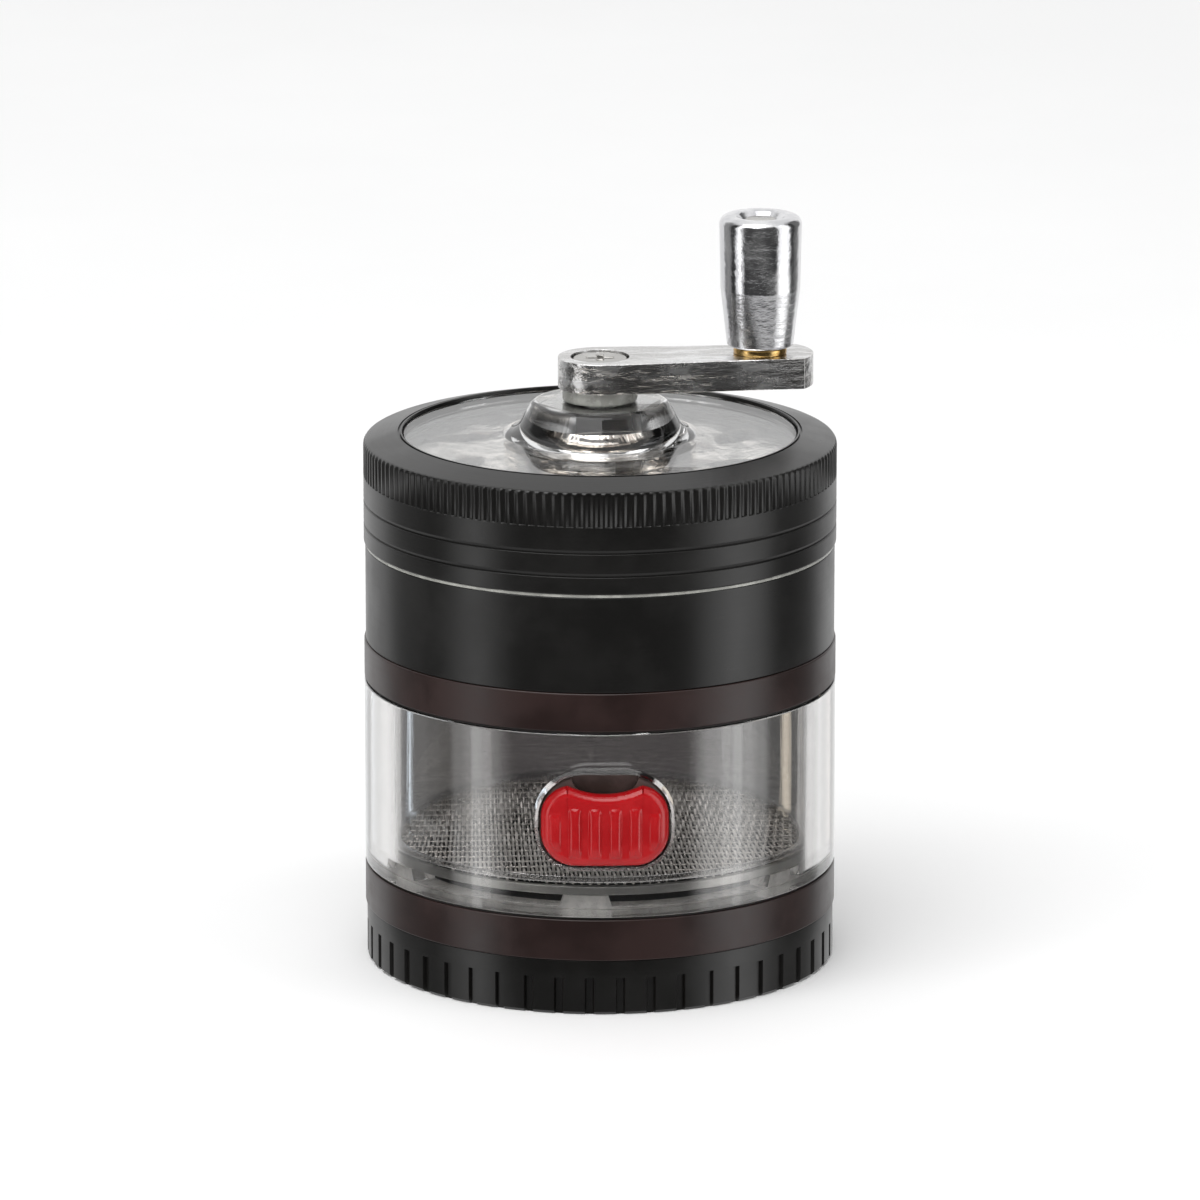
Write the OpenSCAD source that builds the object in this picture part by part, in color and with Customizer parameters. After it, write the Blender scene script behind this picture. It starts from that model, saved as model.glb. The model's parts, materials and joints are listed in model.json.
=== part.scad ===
// Hand-cranked spice mill: a ribbed base cup, a clear collector with a sieve and a
// stoppered pouring hole, a grinding chamber, and a lid with a clear window and a crank.
// The axis of the mill is Z, the mill stands on z = 0, and the pouring hole faces -Y.

/* [Body] */
// Outer diameter of the lid, the two bands and the clear tube
body_d = 63; // [61:0.5:66]
// How far the base and the chamber stand back from that, on the radius
set_back = 0.2; // [0.1:0.05:0.4]
// Height of the base cup's outside
base_h = 7.4; // [6.5:0.1:10]
// Height of the band under the clear tube
lower_band_h = 5.6; // [5:0.1:8]
// Height of the clear tube
tube_h = 24.9; // [22:0.1:34]
// Height of the band over the clear tube
upper_band_h = 5.2; // [4.8:0.1:8]
// Height of the grinding chamber's outside
chamber_h = 12.9; // [11:0.1:18]
// Height of the lid ring
lid_h = 14.8; // [13:0.1:18]

/* [Necks and seals] */
// Wall of a band, from its outside to its screw socket
band_wall = 3.4; // [3:0.1:4]
// Wall of a screw neck
neck_wall = 2; // [1.6:0.1:2.4]
// Height of a screw neck
neck_h = 4.3; // [3.5:0.1:4.5]
// Clearance round a screw neck, on the radius
neck_gap = 0.15; // [0.1:0.05:0.25]
// Thickness of the gaskets at the ends of the clear tube
gasket_h = 0.3; // [0.2:0.05:0.5]
// How far the gaskets stand back from the outside
gasket_inset = 0.3; // [0.2:0.05:0.6]

/* [Base] */
// Thickness of the base cup's floor
base_floor = 2; // [1.5:0.1:3]
// Number of grip grooves round the base
base_grooves = 48; // [36:1:60]
// Width of a grip groove
base_groove_w = 0.8; // [0.6:0.05:1.2]
// Depth of a grip groove
base_groove_deep = 0.5; // [0.3:0.05:0.8]
// Height of the grip grooves
base_groove_h = 5; // [4:0.1:6]
// Chamfer round the foot of the base
base_chamfer = 0.4; // [0.2:0.05:0.5]

/* [Clear tube and sieve] */
// Wall of the clear tube
tube_wall = 4; // [3.5:0.1:4.5]
// Width of the ledge round the foot of the clear tube
ledge_w = 2.5; // [2:0.1:3.5]
// Height of that ledge
ledge_h = 0.8; // [0.6:0.1:1.5]
// Number of lugs on the ledge
lug_count = 6; // [4:1:8]
// Width of a lug
lug_w = 6; // [4:0.1:8]
// Height of a lug above the ledge
lug_h = 1.5; // [1:0.1:2.5]
// Angle of the first lug from the pouring hole
lug_angle = -5; // [-30:1:30]
// Clearance round the sieve, on the radius
sieve_gap = 0.15; // [0.1:0.05:0.3]
// Thickness of the sieve's woven wire
sieve_t = 0.4; // [0.3:0.05:0.6]
// Spacing of the sieve's gaps
sieve_pitch = 2.8; // [2.75:0.05:3.4]
// Width of the wire between two gaps
sieve_wire = 0.6; // [0.4:0.05:0.9]
// Width of the sieve's steel hoop
hoop_w = 0.8; // [0.6:0.05:1.2]
// Height of the sieve's steel hoop, which stands on the lugs
hoop_h = 1.2; // [0.8:0.05:1.6]
// Thickness of the clear ring that holds the sieve down
clip_t = 0.8; // [0.6:0.05:1.2]
// Clearance between that clear ring and the tube
clip_gap = 0.05; // [0.03:0.01:0.1]

/* [Pouring hole and stopper] */
// Length of the pouring hole round the tube
pour_w = 17.6; // [16.5:0.1:19]
// Height of the pouring hole
pour_h = 12.6; // [12:0.1:13.5]
// Height of the hole's middle above the foot of the tube
pour_z = 13.1; // [12.5:0.1:14]
// Clearance round the stopper
stopper_gap = 0.15; // [0.1:0.05:0.3]
// How far the stopper stands back from the outside of the tube
stopper_inset = 0.5; // [0.3:0.05:1]
// How far the stopper reaches inside the tube
stopper_reach = 0.8; // [0.5:0.1:1.5]
// How far the grip's sides and foot stand in from the pouring hole
grip_inset = 0.4; // [0.35:0.05:0.6]
// How far the grip's top lies below the top of the pouring hole
grip_fall = 1.5; // [1.2:0.1:2]
// How far the grip's face stands out from the tube
grip_out = 1.3; // [1:0.1:2.5]
// Number of ribs on the grip
grip_ribs = 6; // [4:1:7]
// Spacing of those ribs
grip_rib_pitch = 2.65; // [2.2:0.05:2.7]
// Radius of a rib
grip_rib_r = 0.55; // [0.4:0.05:0.7]
// Height of the ribs
grip_rib_h = 6.4; // [5:0.1:7]
// Height of the first and the last rib
grip_end_rib_h = 3.6; // [3:0.1:4]
// How far the ribs' middle lies below the grip's middle
grip_rib_drop = 0.7; // [0.4:0.05:1]
// Length of the finger notch in the grip's top edge
notch_w = 10; // [8:0.1:11]
// Depth of the finger notch
notch_deep = 1.1; // [0.8:0.1:1.6]
// Length of the finger pocket in the stopper, behind the notch
pocket_w = 9; // [8:0.1:10]
// Height of the finger pocket, which runs out at the stopper's top
pocket_h = 6; // [5.6:0.1:6.4]
// Depth of the finger pocket
pocket_deep = 1.5; // [1:0.1:2]
// How far the finger pocket's middle lies above the grip's top
pocket_up = 1.6; // [1.4:0.1:1.8]
// Rounding of the grip's front edge
grip_edge = 1.2; // [0.8:0.05:1.3]

/* [Grinding chamber] */
// Thickness of the nylon ring under the lid
glide_h = 0.4; // [0.3:0.05:0.6]
// Wall of the collar that the lid slips over
collar_wall = 1.9; // [1.6:0.1:2.3]
// Height of that collar
collar_h = 9.2; // [8:0.1:9.2]
// Clearance between that collar and the lid, on the radius
collar_gap = 0.2; // [0.1:0.05:0.3]
// Height of the seat of the lower tooth plate above the chamber's foot
plate_seat = 2; // [1.5:0.1:3]
// Thickness of the lower tooth plate
plate_t = 2.5; // [2:0.1:3.5]
// Clearance round the lower tooth plate, on the radius
plate_gap = 0.1; // [0.05:0.05:0.2]
// Diameter of the holes that the ground spice falls through
drop_d = 4; // [3:0.1:4.2]
// Number of holes in the inner and the outer circle
drop_counts = [8, 14]; // [6:1:14]
// Radius of the post in the middle of the lower tooth plate
post_r = 5.5; // [5:0.1:6.5]
// Radius of the magnet in that post
magnet_r = 4; // [3:0.1:4.4]
// Thickness of the magnet
magnet_h = 2; // [1.5:0.1:3]

/* [Teeth] */
// Radius of the innermost circle of teeth
tooth_r = 9.6; // [9.2:0.1:10]
// Space between the outermost circle of teeth and the chamber's wall
tooth_wall_gap = 2.6; // [2:0.1:3]
// Width of a tooth along the radius
tooth_w = 2.4; // [2:0.1:2.5]
// Length of a tooth round the circle
tooth_len = 5; // [4:0.1:5.5]
// Number of lower teeth in each lower circle
lower_teeth = [5, 9, 13]; // [5:1:13]
// Number of upper teeth in each upper circle
upper_teeth = 8; // [6:1:8]
// Gap between the tips of the teeth and the plate that they face
tip_gap = 1.5; // [1:0.1:2.5]
// Drop of a tooth's tip from its inner to its outer edge
tip_slope = 0.8; // [0.4:0.1:1.2]

/* [Lid and window] */
// Wall of the lid's skirt
lid_wall = 2.4; // [2.2:0.1:2.8]
// Width of the lid's rim, from the outside to its inner edge
rim_w = 5.15; // [4.8:0.05:6]
// Thickness of the lid's lip over the window
lip_t = 1.6; // [1.3:0.1:2]
// Clearance between the lip and the window's face, on the radius
lip_gap = 0.15; // [0.1:0.05:0.3]
// Fall of the lid's rim from its inner edge to its rounded shoulder
rim_fall = 0.2; // [0.1:0.05:0.4]
// Radius of the rounded shoulder
shoulder_r = 1.5; // [1:0.1:2]
// How deep the window's face lies below the rim
window_sink = 0.4; // [0.2:0.05:0.6]
// Width of the window's flange under the lip
flange_w = 2.3; // [2:0.1:2.3]
// Thickness of the window's flange
flange_t = 1.6; // [1.2:0.1:2]
// Clearance round the window's flange and its ring
flange_gap = 0.1; // [0.05:0.05:0.15]
// Thickness of the black seal on the flange
seal_h = 0.3; // [0.2:0.05:0.5]
// Width of the ring that holds the window up
clamp_w = 1.7; // [1.4:0.1:1.7]
// Thickness of that ring
clamp_h = 1.5; // [1.2:0.1:2]
// Radius of the window's boss at its foot
boss_foot_r = 11.4; // [10.5:0.1:12.5]
// Radius of the window's boss at its top
boss_top_r = 9; // [8.5:0.1:10]
// Height of the window's boss
boss_h = 4.4; // [4:0.1:6]
// Thickness of clear plastic over the bearing in the boss
boss_roof = 0.8; // [0.6:0.1:1.2]
// Number of knurl grooves round the lid
knurls = 180; // [120:1:200]
// Width of a knurl groove
knurl_w = 0.5; // [0.4:0.05:0.7]
// Depth of a knurl groove
knurl_deep = 0.3; // [0.2:0.05:0.4]
// Height of the knurled band
knurl_h = 4; // [3:0.1:5]
// Heights of the two turned lines above the foot of the lid
lid_lines = [2.5, 5.6]; // [2:0.1:6]
// Width of a turned line
lid_line_w = 0.5; // [0.3:0.05:0.7]

/* [Crank] */
// Distance from the mill's axis to the knob's axis
crank_throw = 21.4; // [20:0.1:22]
// Angle of the crank from +X
crank_angle = 5; // [0:1:15]
// Radius of the crank arm's hub
hub_r = 5.6; // [5.2:0.1:6.5]
// Half the arm's width at the knob
arm_half = 4.6; // [4:0.1:5]
// Reach of the arm past the knob's axis
arm_end = 7.1; // [6.5:0.1:7.5]
// Thickness of the arm
arm_t = 4.1; // [3.8:0.1:5]
// Height of the spacer between the boss and the arm
spacer_h = 1.75; // [1.5:0.05:2.5]
// Radius of that spacer
spacer_r = 5; // [4.5:0.1:5.5]
// Clearance under turning faces
face_gap = 0.15; // [0.1:0.05:0.3]
// Radius of the spindle
spindle_r = 3; // [2.9:0.05:3.3]
// Width of the square at each end of the spindle
square_w = 4.2; // [4:0.05:4.2]
// Clearance round the spindle in its bearing, on the radius
run_gap = 0.05; // [0.03:0.01:0.08]
// Clearance of a part that is fixed on another
fix_gap = 0.05; // [0.03:0.01:0.08]
// Width across the flats of the hexagonal bearing
bearing_flats = 14; // [13:0.1:14.2]
// Turn of the hexagonal bearing about the mill's axis
bearing_turn = 7; // [0:1:30]
// Radius of the sunk screw seat in the hub
sunk_r = 3.9; // [3.6:0.1:4.2]
// Depth of the sunk screw seat
sunk_deep = 1.6; // [1.4:0.1:1.9]
// Radius of the crank screw's head
screw_head_r = 3.6; // [3.2:0.1:3.6]
// Height of the crank screw's head
screw_head_h = 1.4; // [1.1:0.1:1.4]
// Radius of the screws' shanks
shank_r = 1.5; // [1.3:0.05:1.6]
// Depth of the tapped holes in the spindle
tap_deep = 6; // [5:0.1:6]
// Width of a blade of the cross in a screw's head
cross_w = 0.9; // [0.7:0.05:1.1]

/* [Upper tooth plate] */
// Clearance between the upper tooth plate and the chamber's wall
rotor_gap = 0.6; // [0.4:0.1:1]
// Thickness of the upper tooth plate
rotor_t = 2.2; // [1.8:0.1:2.5]
// Gap under the window's clamp ring
rotor_drop = 0.3; // [0.2:0.05:0.5]
// Radius of the upper tooth plate's hub
rotor_hub_r = 12.8; // [12:0.1:13]
// Radius of the neck on that hub, under the bearing
hub_neck_r = 8; // [7.9:0.1:8.3]
// Height of that neck
hub_neck_h = 4.4; // [3.8:0.1:4.8]
// Clearance round that neck in the window, on the radius
hub_neck_gap = 0.3; // [0.2:0.05:0.5]
// Radius of the boss under the upper tooth plate
rotor_boss_r = 5.5; // [5:0.1:6]
// Height of that boss
rotor_boss_h = 3; // [2.5:0.1:4]
// Thickness of the thrust washer on the hub's neck
washer_t = 0.25; // [0.2:0.05:0.25]
// Length of a petal-shaped window in the plate
petal_len = 10; // [9:0.1:10.5]
// Width of a petal-shaped window
petal_w = 5; // [4:0.1:5.5]
// Turn of a petal from the radius
petal_turn = 40; // [30:1:50]
// Gap between the upper plate's screw and the magnet
magnet_gap = 0.8; // [0.5:0.1:1.5]

/* [Knob] */
// Height of the knob
knob_h = 17.6; // [15:0.1:20]
// Radius of the knob at its foot
knob_foot_r = 4.4; // [4:0.1:4.8]
// Radius of the knob where its taper ends
knob_mid_r = 5.3; // [5:0.1:5.6]
// Radius of the knob near its top
knob_top_r = 5.5; // [5.2:0.1:6]
// Height of the knob's taper
knob_taper_h = 7.8; // [6:0.1:9]
// Rounding of the knob's top edge
knob_edge = 1.2; // [0.8:0.1:1.4]
// Radius of the dish in the knob's top
dish_r = 3.3; // [3:0.1:3.6]
// Radius of the dish's floor
dish_floor_r = 2.4; // [2.3:0.1:2.6]
// Depth of the dish
dish_deep = 1.1; // [0.8:0.1:1.4]
// Radius of the brass bush's collar
bush_collar_r = 3.55; // [3.2:0.05:4]
// Height of that collar
bush_collar_h = 0.9; // [0.7:0.1:1.2]
// Radius of the bush inside the knob
bush_r = 2.6; // [2.5:0.05:2.8]
// Length of the bush inside the knob
bush_len = 8; // [6:0.1:10]
// Radius of the knob's pin
pin_r = 1.75; // [1.6:0.05:1.8]
// Radius of the pin's riveted head
pin_head_r = 2.1; // [2:0.05:2.2]
// Height of that head
pin_head_h = 0.5; // [0.3:0.05:0.7]

/* [Hidden] */
$fn = 96;
cut = 1;                // how far a cutting tool runs past the face that it cuts
body_r = body_d / 2;
inset_r = body_r - set_back;

// Heights of the stacked pieces
lower_band_z = base_h;
lower_gasket_z = lower_band_z + lower_band_h;
tube_z = lower_gasket_z + gasket_h;
tube_top = tube_z + tube_h;
upper_band_z = tube_top + gasket_h;
chamber_z = upper_band_z + upper_band_h;
glide_z = chamber_z + chamber_h;
lid_z = glide_z + glide_h;
lid_top = lid_z + lid_h;

// Radii of the screw necks and of the chamber
socket_r = body_r - band_wall;
neck_r = socket_r - neck_gap;
neck_bore_r = neck_r - neck_wall;
skirt_r = body_r - lid_wall;
collar_r = skirt_r - collar_gap;
chamber_r = collar_r - collar_wall;

// Clear tube and sieve
tube_r = body_r - tube_wall;
hoop_z = tube_z + ledge_h + lug_h;
sieve_z = hoop_z + hoop_h;
sieve_r = tube_r - sieve_gap;
clip_z = sieve_z + sieve_t;
pour_mid = tube_z + pour_z;
stopper_r = body_r - stopper_inset;
grip_w = pour_w - 2 * grip_inset;
grip_h = pour_h - grip_inset - grip_fall;
grip_top = pour_mid + pour_h / 2 - grip_fall;
grip_mid = grip_top - grip_h / 2;
grip_r = body_r + grip_out;

// Window and its seat
lip_r = body_r - rim_w;
window_r = lip_r - lip_gap;
seat_r = window_r + flange_w;
lip_z = lid_top - lip_t;
flange_z = lip_z - seal_h - flange_t;
window_top = lid_top - window_sink;
boss_top = window_top + boss_h;
clamp_z = flange_z - clamp_h;
bearing_top = boss_top - boss_roof;
bearing_r = bearing_flats / 2 / cos(30);

// Tooth plates
plate_z = chamber_z + plate_seat;
plate_top = plate_z + plate_t;
rotor_r = chamber_r - rotor_gap;
rotor_top = clamp_z - rotor_drop;
rotor_z = rotor_top - rotor_t;
hub_top = flange_z - washer_t - fix_gap;
neck_top = hub_top + hub_neck_h;
bearing_z = flange_z + hub_neck_h;
bearing_h = bearing_top - bearing_z;
rotor_boss_z = rotor_z - rotor_boss_h;
post_top = rotor_boss_z - screw_head_h - magnet_gap;
outer_ring_r = chamber_r - tooth_wall_gap - tooth_w / 2;
tooth_step = (outer_ring_r - tooth_r) / (2 * (len(lower_teeth) - 1));
lower_rings = [for (i = [0:len(lower_teeth) - 1]) tooth_r + 2 * i * tooth_step];
upper_rings = [for (i = [0:len(lower_teeth) - 2]) tooth_r + (2 * i + 1) * tooth_step];
petal_r = upper_rings[1];

// Crank and knob
spacer_z = boss_top + face_gap;
arm_z = spacer_z + spacer_h;
arm_top = arm_z + arm_t;
sunk_z = arm_top - sunk_deep;
square_top = sunk_z - fix_gap;
knob_z = arm_top + bush_collar_h + face_gap;
knob_top = knob_z + knob_h;
dish_z = knob_top - dish_deep;

// Shapes that several pieces share

module tube(outer, inner, z, h) {
    translate([0, 0, z]) difference() {
        cylinder(r = outer, h = h);
        translate([0, 0, -cut]) cylinder(r = inner, h = h + 2 * cut);
    }
}

module around(count, first = 0) {
    for (i = [0:count - 1]) rotate([0, 0, first + i * 360 / count]) children();
}

// Upright slots cut into a round wall
module wall_slots(count, wall_r, w, deep, z, h) {
    around(count, 180 / count) translate([wall_r - deep, -w / 2, z]) cube([deep + cut, w, h]);
}

// Outline of a slot with round ends
module slot_outline(w, h) {
    for (side = [-1, 1]) translate([side * (w - h) / 2, 0]) circle(d = h);
    square([w - h, h], center = true);
}

// A slot-shaped bar through the front wall of the tube, from one radius to another
module front_bar(w, h, z, r0, r1) {
    translate([0, -r0, z]) rotate([90, 0, 0]) linear_extrude(r1 - r0) slot_outline(w, h);
}

// The bearing's six-sided shape
module hexagon(r, z, h) {
    translate([0, 0, z]) rotate([0, 0, bearing_turn]) cylinder(r = r, h = h, $fn = 6);
}

// Lozenge-shaped teeth on a circle
module tooth_ring(count, ring_r, z, h, first = 0) {
    half_w = tooth_w / 2;
    half_l = tooth_len / 2;
    around(count, first) translate([ring_r, 0, z]) linear_extrude(h)
        polygon([[-half_w, 0], [0, -half_l], [half_w, 0], [0, half_l]]);
}

// Screw head with a cross, on its shank
module screw(head_z, turn) {
    translate([0, 0, head_z]) rotate([turn, 0, 0]) {
        difference() {
            cylinder(r = screw_head_r, h = screw_head_h);
            for (angle = [0, 90]) rotate([0, 0, angle])
                translate([-screw_head_r / 2, -cross_w / 2, screw_head_h / 2])
                    cube([screw_head_r, cross_w, screw_head_h]);
        }
        translate([0, 0, -tap_deep + fix_gap]) cylinder(r = shank_r, h = tap_deep - fix_gap);
    }
}

module at_crank() { rotate([0, 0, crank_angle]) children(); }

module at_knob() { at_crank() translate([crank_throw, 0, 0]) children(); }

// Base and collector

module base_cup() {
    color("#262626") difference() {
        rotate_extrude() polygon([
            [0, 0], [inset_r - base_chamfer, 0], [inset_r, base_chamfer], [inset_r, base_h],
            [neck_r, base_h], [neck_r, base_h + neck_h], [neck_bore_r, base_h + neck_h],
            [neck_bore_r, base_floor], [0, base_floor]
        ]);
        wall_slots(base_grooves, inset_r, base_groove_w, base_groove_deep, -cut, base_groove_h + cut);
    }
}

module band(z, h) { color("#4a2c28") tube(body_r, socket_r, z, h); }

module gasket(z) { color("#151515") tube(body_r - gasket_inset, socket_r, z, gasket_h); }

module lower_band() { band(lower_band_z, lower_band_h); }

module lower_gasket() { gasket(lower_gasket_z); }

module upper_gasket() { gasket(tube_top); }

module upper_band() { band(upper_band_z, upper_band_h); }

module collector_tube() {
    ledge_r = tube_r - ledge_w;
    color("#dfe6ea", 0.35) {
        difference() {
            rotate_extrude() polygon([
                [ledge_r, tube_z], [body_r, tube_z], [body_r, tube_top], [tube_r, tube_top],
                [tube_r, tube_z + ledge_h], [ledge_r, tube_z + ledge_h]
            ]);
            front_bar(pour_w, pour_h, pour_mid, 0, body_r + cut);
        }
        intersection() {
            tube((tube_r + body_r) / 2, ledge_r, tube_z + ledge_h, lug_h);
            around(lug_count, lug_angle - 90)
                translate([0, -lug_w / 2, tube_z]) cube([body_r, lug_w, ledge_h + lug_h]);
        }
    }
}

module sieve_mesh() {
    gap = sieve_pitch - sieve_wire;
    reach = floor(sieve_r / sieve_pitch);
    open_r = sieve_r - hoop_w - gap / 2;
    color("#9a9a98") translate([0, 0, sieve_z]) linear_extrude(sieve_t) difference() {
        circle(r = sieve_r);
        for (i = [-reach:reach], j = [-reach:reach])
            if (norm([i, j]) * sieve_pitch < open_r - gap / 4)
                translate([i, j] * sieve_pitch) square(gap, center = true);
    }
}

module sieve_hoop() { color("#b4b4b2") tube(sieve_r, sieve_r - hoop_w, hoop_z, hoop_h); }

module sieve_clip() {
    color("#dfe6ea", 0.35) tube(tube_r - clip_gap, tube_r - clip_gap - clip_t, clip_z, clip_t);
}

// Stopper of the pouring hole

module pour_stopper() {
    color("#232020") difference() {
        intersection() {
            front_bar(pour_w - 2 * stopper_gap, pour_h - 2 * stopper_gap, pour_mid, 0, body_r);
            tube(stopper_r, tube_r - stopper_reach, tube_z, tube_h);
        }
        front_bar(pocket_w, pocket_h, grip_top + pocket_up, stopper_r - pocket_deep, body_r);
    }
}

module stopper_grip() {
    notch_r = (notch_w * notch_w / 4 + notch_deep * notch_deep) / (2 * notch_deep);
    color("#c8141c") {
        difference() {
            intersection() {
                hull() {
                    front_bar(grip_w, grip_h, grip_mid, 0, grip_r - grip_edge);
                    front_bar(grip_w - 2 * grip_edge, grip_h - 2 * grip_edge, grip_mid, 0, grip_r + cut);
                }
                tube(grip_r, stopper_r, tube_z, tube_h);
            }
            translate([0, 0, grip_top - notch_deep + notch_r]) rotate([90, 0, 0])
                cylinder(r = notch_r, h = grip_r + cut);
        }
        for (i = [0:grip_ribs - 1]) {
            h = i % (grip_ribs - 1) == 0 ? grip_end_rib_h : grip_rib_h;
            rotate([0, 0, asin((i - (grip_ribs - 1) / 2) * grip_rib_pitch / grip_r)])
                translate([0, -grip_r, grip_mid - grip_rib_drop - h / 2]) rotate_extrude() polygon([
                    [0, 0], [grip_rib_r / 2, 0], [grip_rib_r, grip_rib_r],
                    [grip_rib_r, h - grip_rib_r], [grip_rib_r / 2, h], [0, h]
                ]);
        }
    }
}

// Grinding chamber

module chamber_body() {
    color("#1f1f1f") rotate_extrude() polygon([
        [neck_bore_r, chamber_z - neck_h], [neck_r, chamber_z - neck_h], [neck_r, chamber_z],
        [inset_r, chamber_z], [inset_r, glide_z], [collar_r, glide_z],
        [collar_r, glide_z + collar_h], [chamber_r, glide_z + collar_h],
        [chamber_r, plate_z], [neck_bore_r, plate_z]
    ]);
}

module lower_tooth_plate() {
    tip_z = rotor_z - tip_gap;
    color("#b9b9bb") {
        difference() {
            union() {
                translate([0, 0, plate_z]) cylinder(r = chamber_r - plate_gap, h = plate_t);
                translate([0, 0, plate_z]) cylinder(r = post_r, h = post_top - plate_z);
            }
            translate([0, 0, post_top - magnet_h]) cylinder(r = magnet_r + fix_gap, h = magnet_h + cut);
            for (i = [0:len(drop_counts) - 1]) around(drop_counts[i], 180 / drop_counts[i])
                translate([upper_rings[i], 0, plate_z - cut])
                    cylinder(d = drop_d, h = plate_t + 2 * cut);
        }
        intersection() {
            for (i = [0:len(lower_rings) - 1])
                tooth_ring(lower_teeth[i], lower_rings[i], plate_z + plate_t / 2, tip_z - plate_z);
            rotate_extrude() polygon([
                [0, plate_z], [chamber_r, plate_z], [chamber_r, tip_z - tip_slope], [0, tip_z]
            ]);
        }
    }
}

module centre_magnet() {
    color("#8e8e92") translate([0, 0, post_top - magnet_h]) cylinder(r = magnet_r, h = magnet_h);
}

module glide_ring() { color("#e6e6e2") tube(inset_r, collar_r + fix_gap, glide_z, glide_h); }

// Lid and window

module lid_ring() {
    shoulder_z = lid_top - rim_fall - shoulder_r;
    color("#242424") difference() {
        rotate_extrude() {
            polygon([
                [skirt_r, lid_z], [body_r, lid_z], [body_r, shoulder_z],
                [body_r - shoulder_r, shoulder_z + shoulder_r], [lip_r, lid_top], [lip_r, lip_z],
                [seat_r, lip_z], [seat_r, clamp_z - fix_gap], [skirt_r, clamp_z - fix_gap]
            ]);
            intersection() {
                translate([body_r - shoulder_r, shoulder_z]) circle(r = shoulder_r);
                translate([body_r - shoulder_r, shoulder_z]) square(shoulder_r);
            }
        }
        wall_slots(knurls, body_r, knurl_w, knurl_deep, shoulder_z - knurl_h, knurl_h + shoulder_r);
        for (line = lid_lines) rotate_extrude()
            translate([body_r, lid_z + line]) rotate(45) square(lid_line_w, center = true);
    }
}

module window_seal() {
    color("#0e0e0e") tube(seat_r - flange_gap, window_r + fix_gap, lip_z - seal_h, seal_h);
}

module lid_window() {
    color("#e4eaee", 0.3) difference() {
        rotate_extrude() polygon([
            [0, flange_z], [seat_r - flange_gap, flange_z], [seat_r - flange_gap, lip_z - seal_h],
            [window_r, lip_z - seal_h], [window_r, window_top], [boss_foot_r, window_top],
            [boss_top_r, boss_top], [0, boss_top]
        ]);
        translate([0, 0, flange_z - cut]) cylinder(r = hub_neck_r + hub_neck_gap, h = hub_neck_h + cut);
        hexagon(bearing_r + fix_gap, flange_z, bearing_top - flange_z);
        translate([0, 0, flange_z]) cylinder(r = spindle_r + 2 * run_gap, h = boss_top - flange_z + cut);
    }
}

module window_clamp_ring() {
    color("#1c1c1c") tube(seat_r - flange_gap, seat_r - clamp_w, clamp_z, clamp_h);
}

module hex_bearing() {
    color("#5c5550") difference() {
        hexagon(bearing_r, bearing_z, bearing_h);
        translate([0, 0, bearing_z - cut]) cylinder(r = spindle_r + run_gap, h = bearing_h + 2 * cut);
    }
}

// Crank, spindle and upper tooth plate

module spindle() {
    square_z = rotor_boss_z + fix_gap;
    color("#a8a8aa") difference() {
        union() {
            translate([0, 0, neck_top]) cylinder(r = spindle_r, h = arm_z - neck_top);
            translate([-square_w / 2, -square_w / 2, square_z])
                cube([square_w, square_w, square_top - square_z]);
        }
        translate([0, 0, square_z - cut]) cylinder(r = shank_r + fix_gap, h = tap_deep + cut);
        translate([0, 0, square_top - tap_deep]) cylinder(r = shank_r + fix_gap, h = tap_deep + cut);
    }
}

module thrust_washer() {
    color("#e6e6e2") tube(bearing_flats / 2, spindle_r + run_gap, neck_top, washer_t);
}

module upper_tooth_plate() {
    tip_z = plate_top + tip_gap;
    lens_r = (petal_len * petal_len + petal_w * petal_w) / (4 * petal_w);
    square_hole = square_w + 2 * fix_gap;
    color("#c9c9cc") {
        difference() {
            union() {
                translate([0, 0, rotor_z]) cylinder(r = rotor_r, h = rotor_t);
                translate([0, 0, rotor_z]) cylinder(r = rotor_hub_r, h = hub_top - rotor_z);
                translate([0, 0, rotor_z]) cylinder(r = hub_neck_r, h = neck_top - rotor_z);
                translate([0, 0, rotor_boss_z]) cylinder(r = rotor_boss_r, h = rotor_boss_h + cut);
            }
            translate([-square_hole / 2, -square_hole / 2, rotor_boss_z - cut])
                cube([square_hole, square_hole, neck_top - rotor_boss_z + 2 * cut]);
            around(upper_teeth, 180 / upper_teeth) translate([petal_r, 0, rotor_z - cut])
                linear_extrude(rotor_t + 2 * cut) rotate(petal_turn) intersection_for(side = [-1, 1])
                    translate([0, side * (lens_r - petal_w / 2)]) circle(r = lens_r);
        }
        intersection() {
            for (ring_r = upper_rings)
                tooth_ring(upper_teeth, ring_r, tip_z, rotor_z + rotor_t / 2 - tip_z);
            rotate_extrude() polygon([
                [0, tip_z], [chamber_r, tip_z + tip_slope], [chamber_r, rotor_top], [0, rotor_top]
            ]);
        }
    }
}

module rotor_screw() { color("#9c9c9e") screw(rotor_boss_z, 180); }

module crank_spacer() {
    color("#cfd2cc") tube(spacer_r, spindle_r + run_gap, spacer_z, spacer_h);
}

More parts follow.
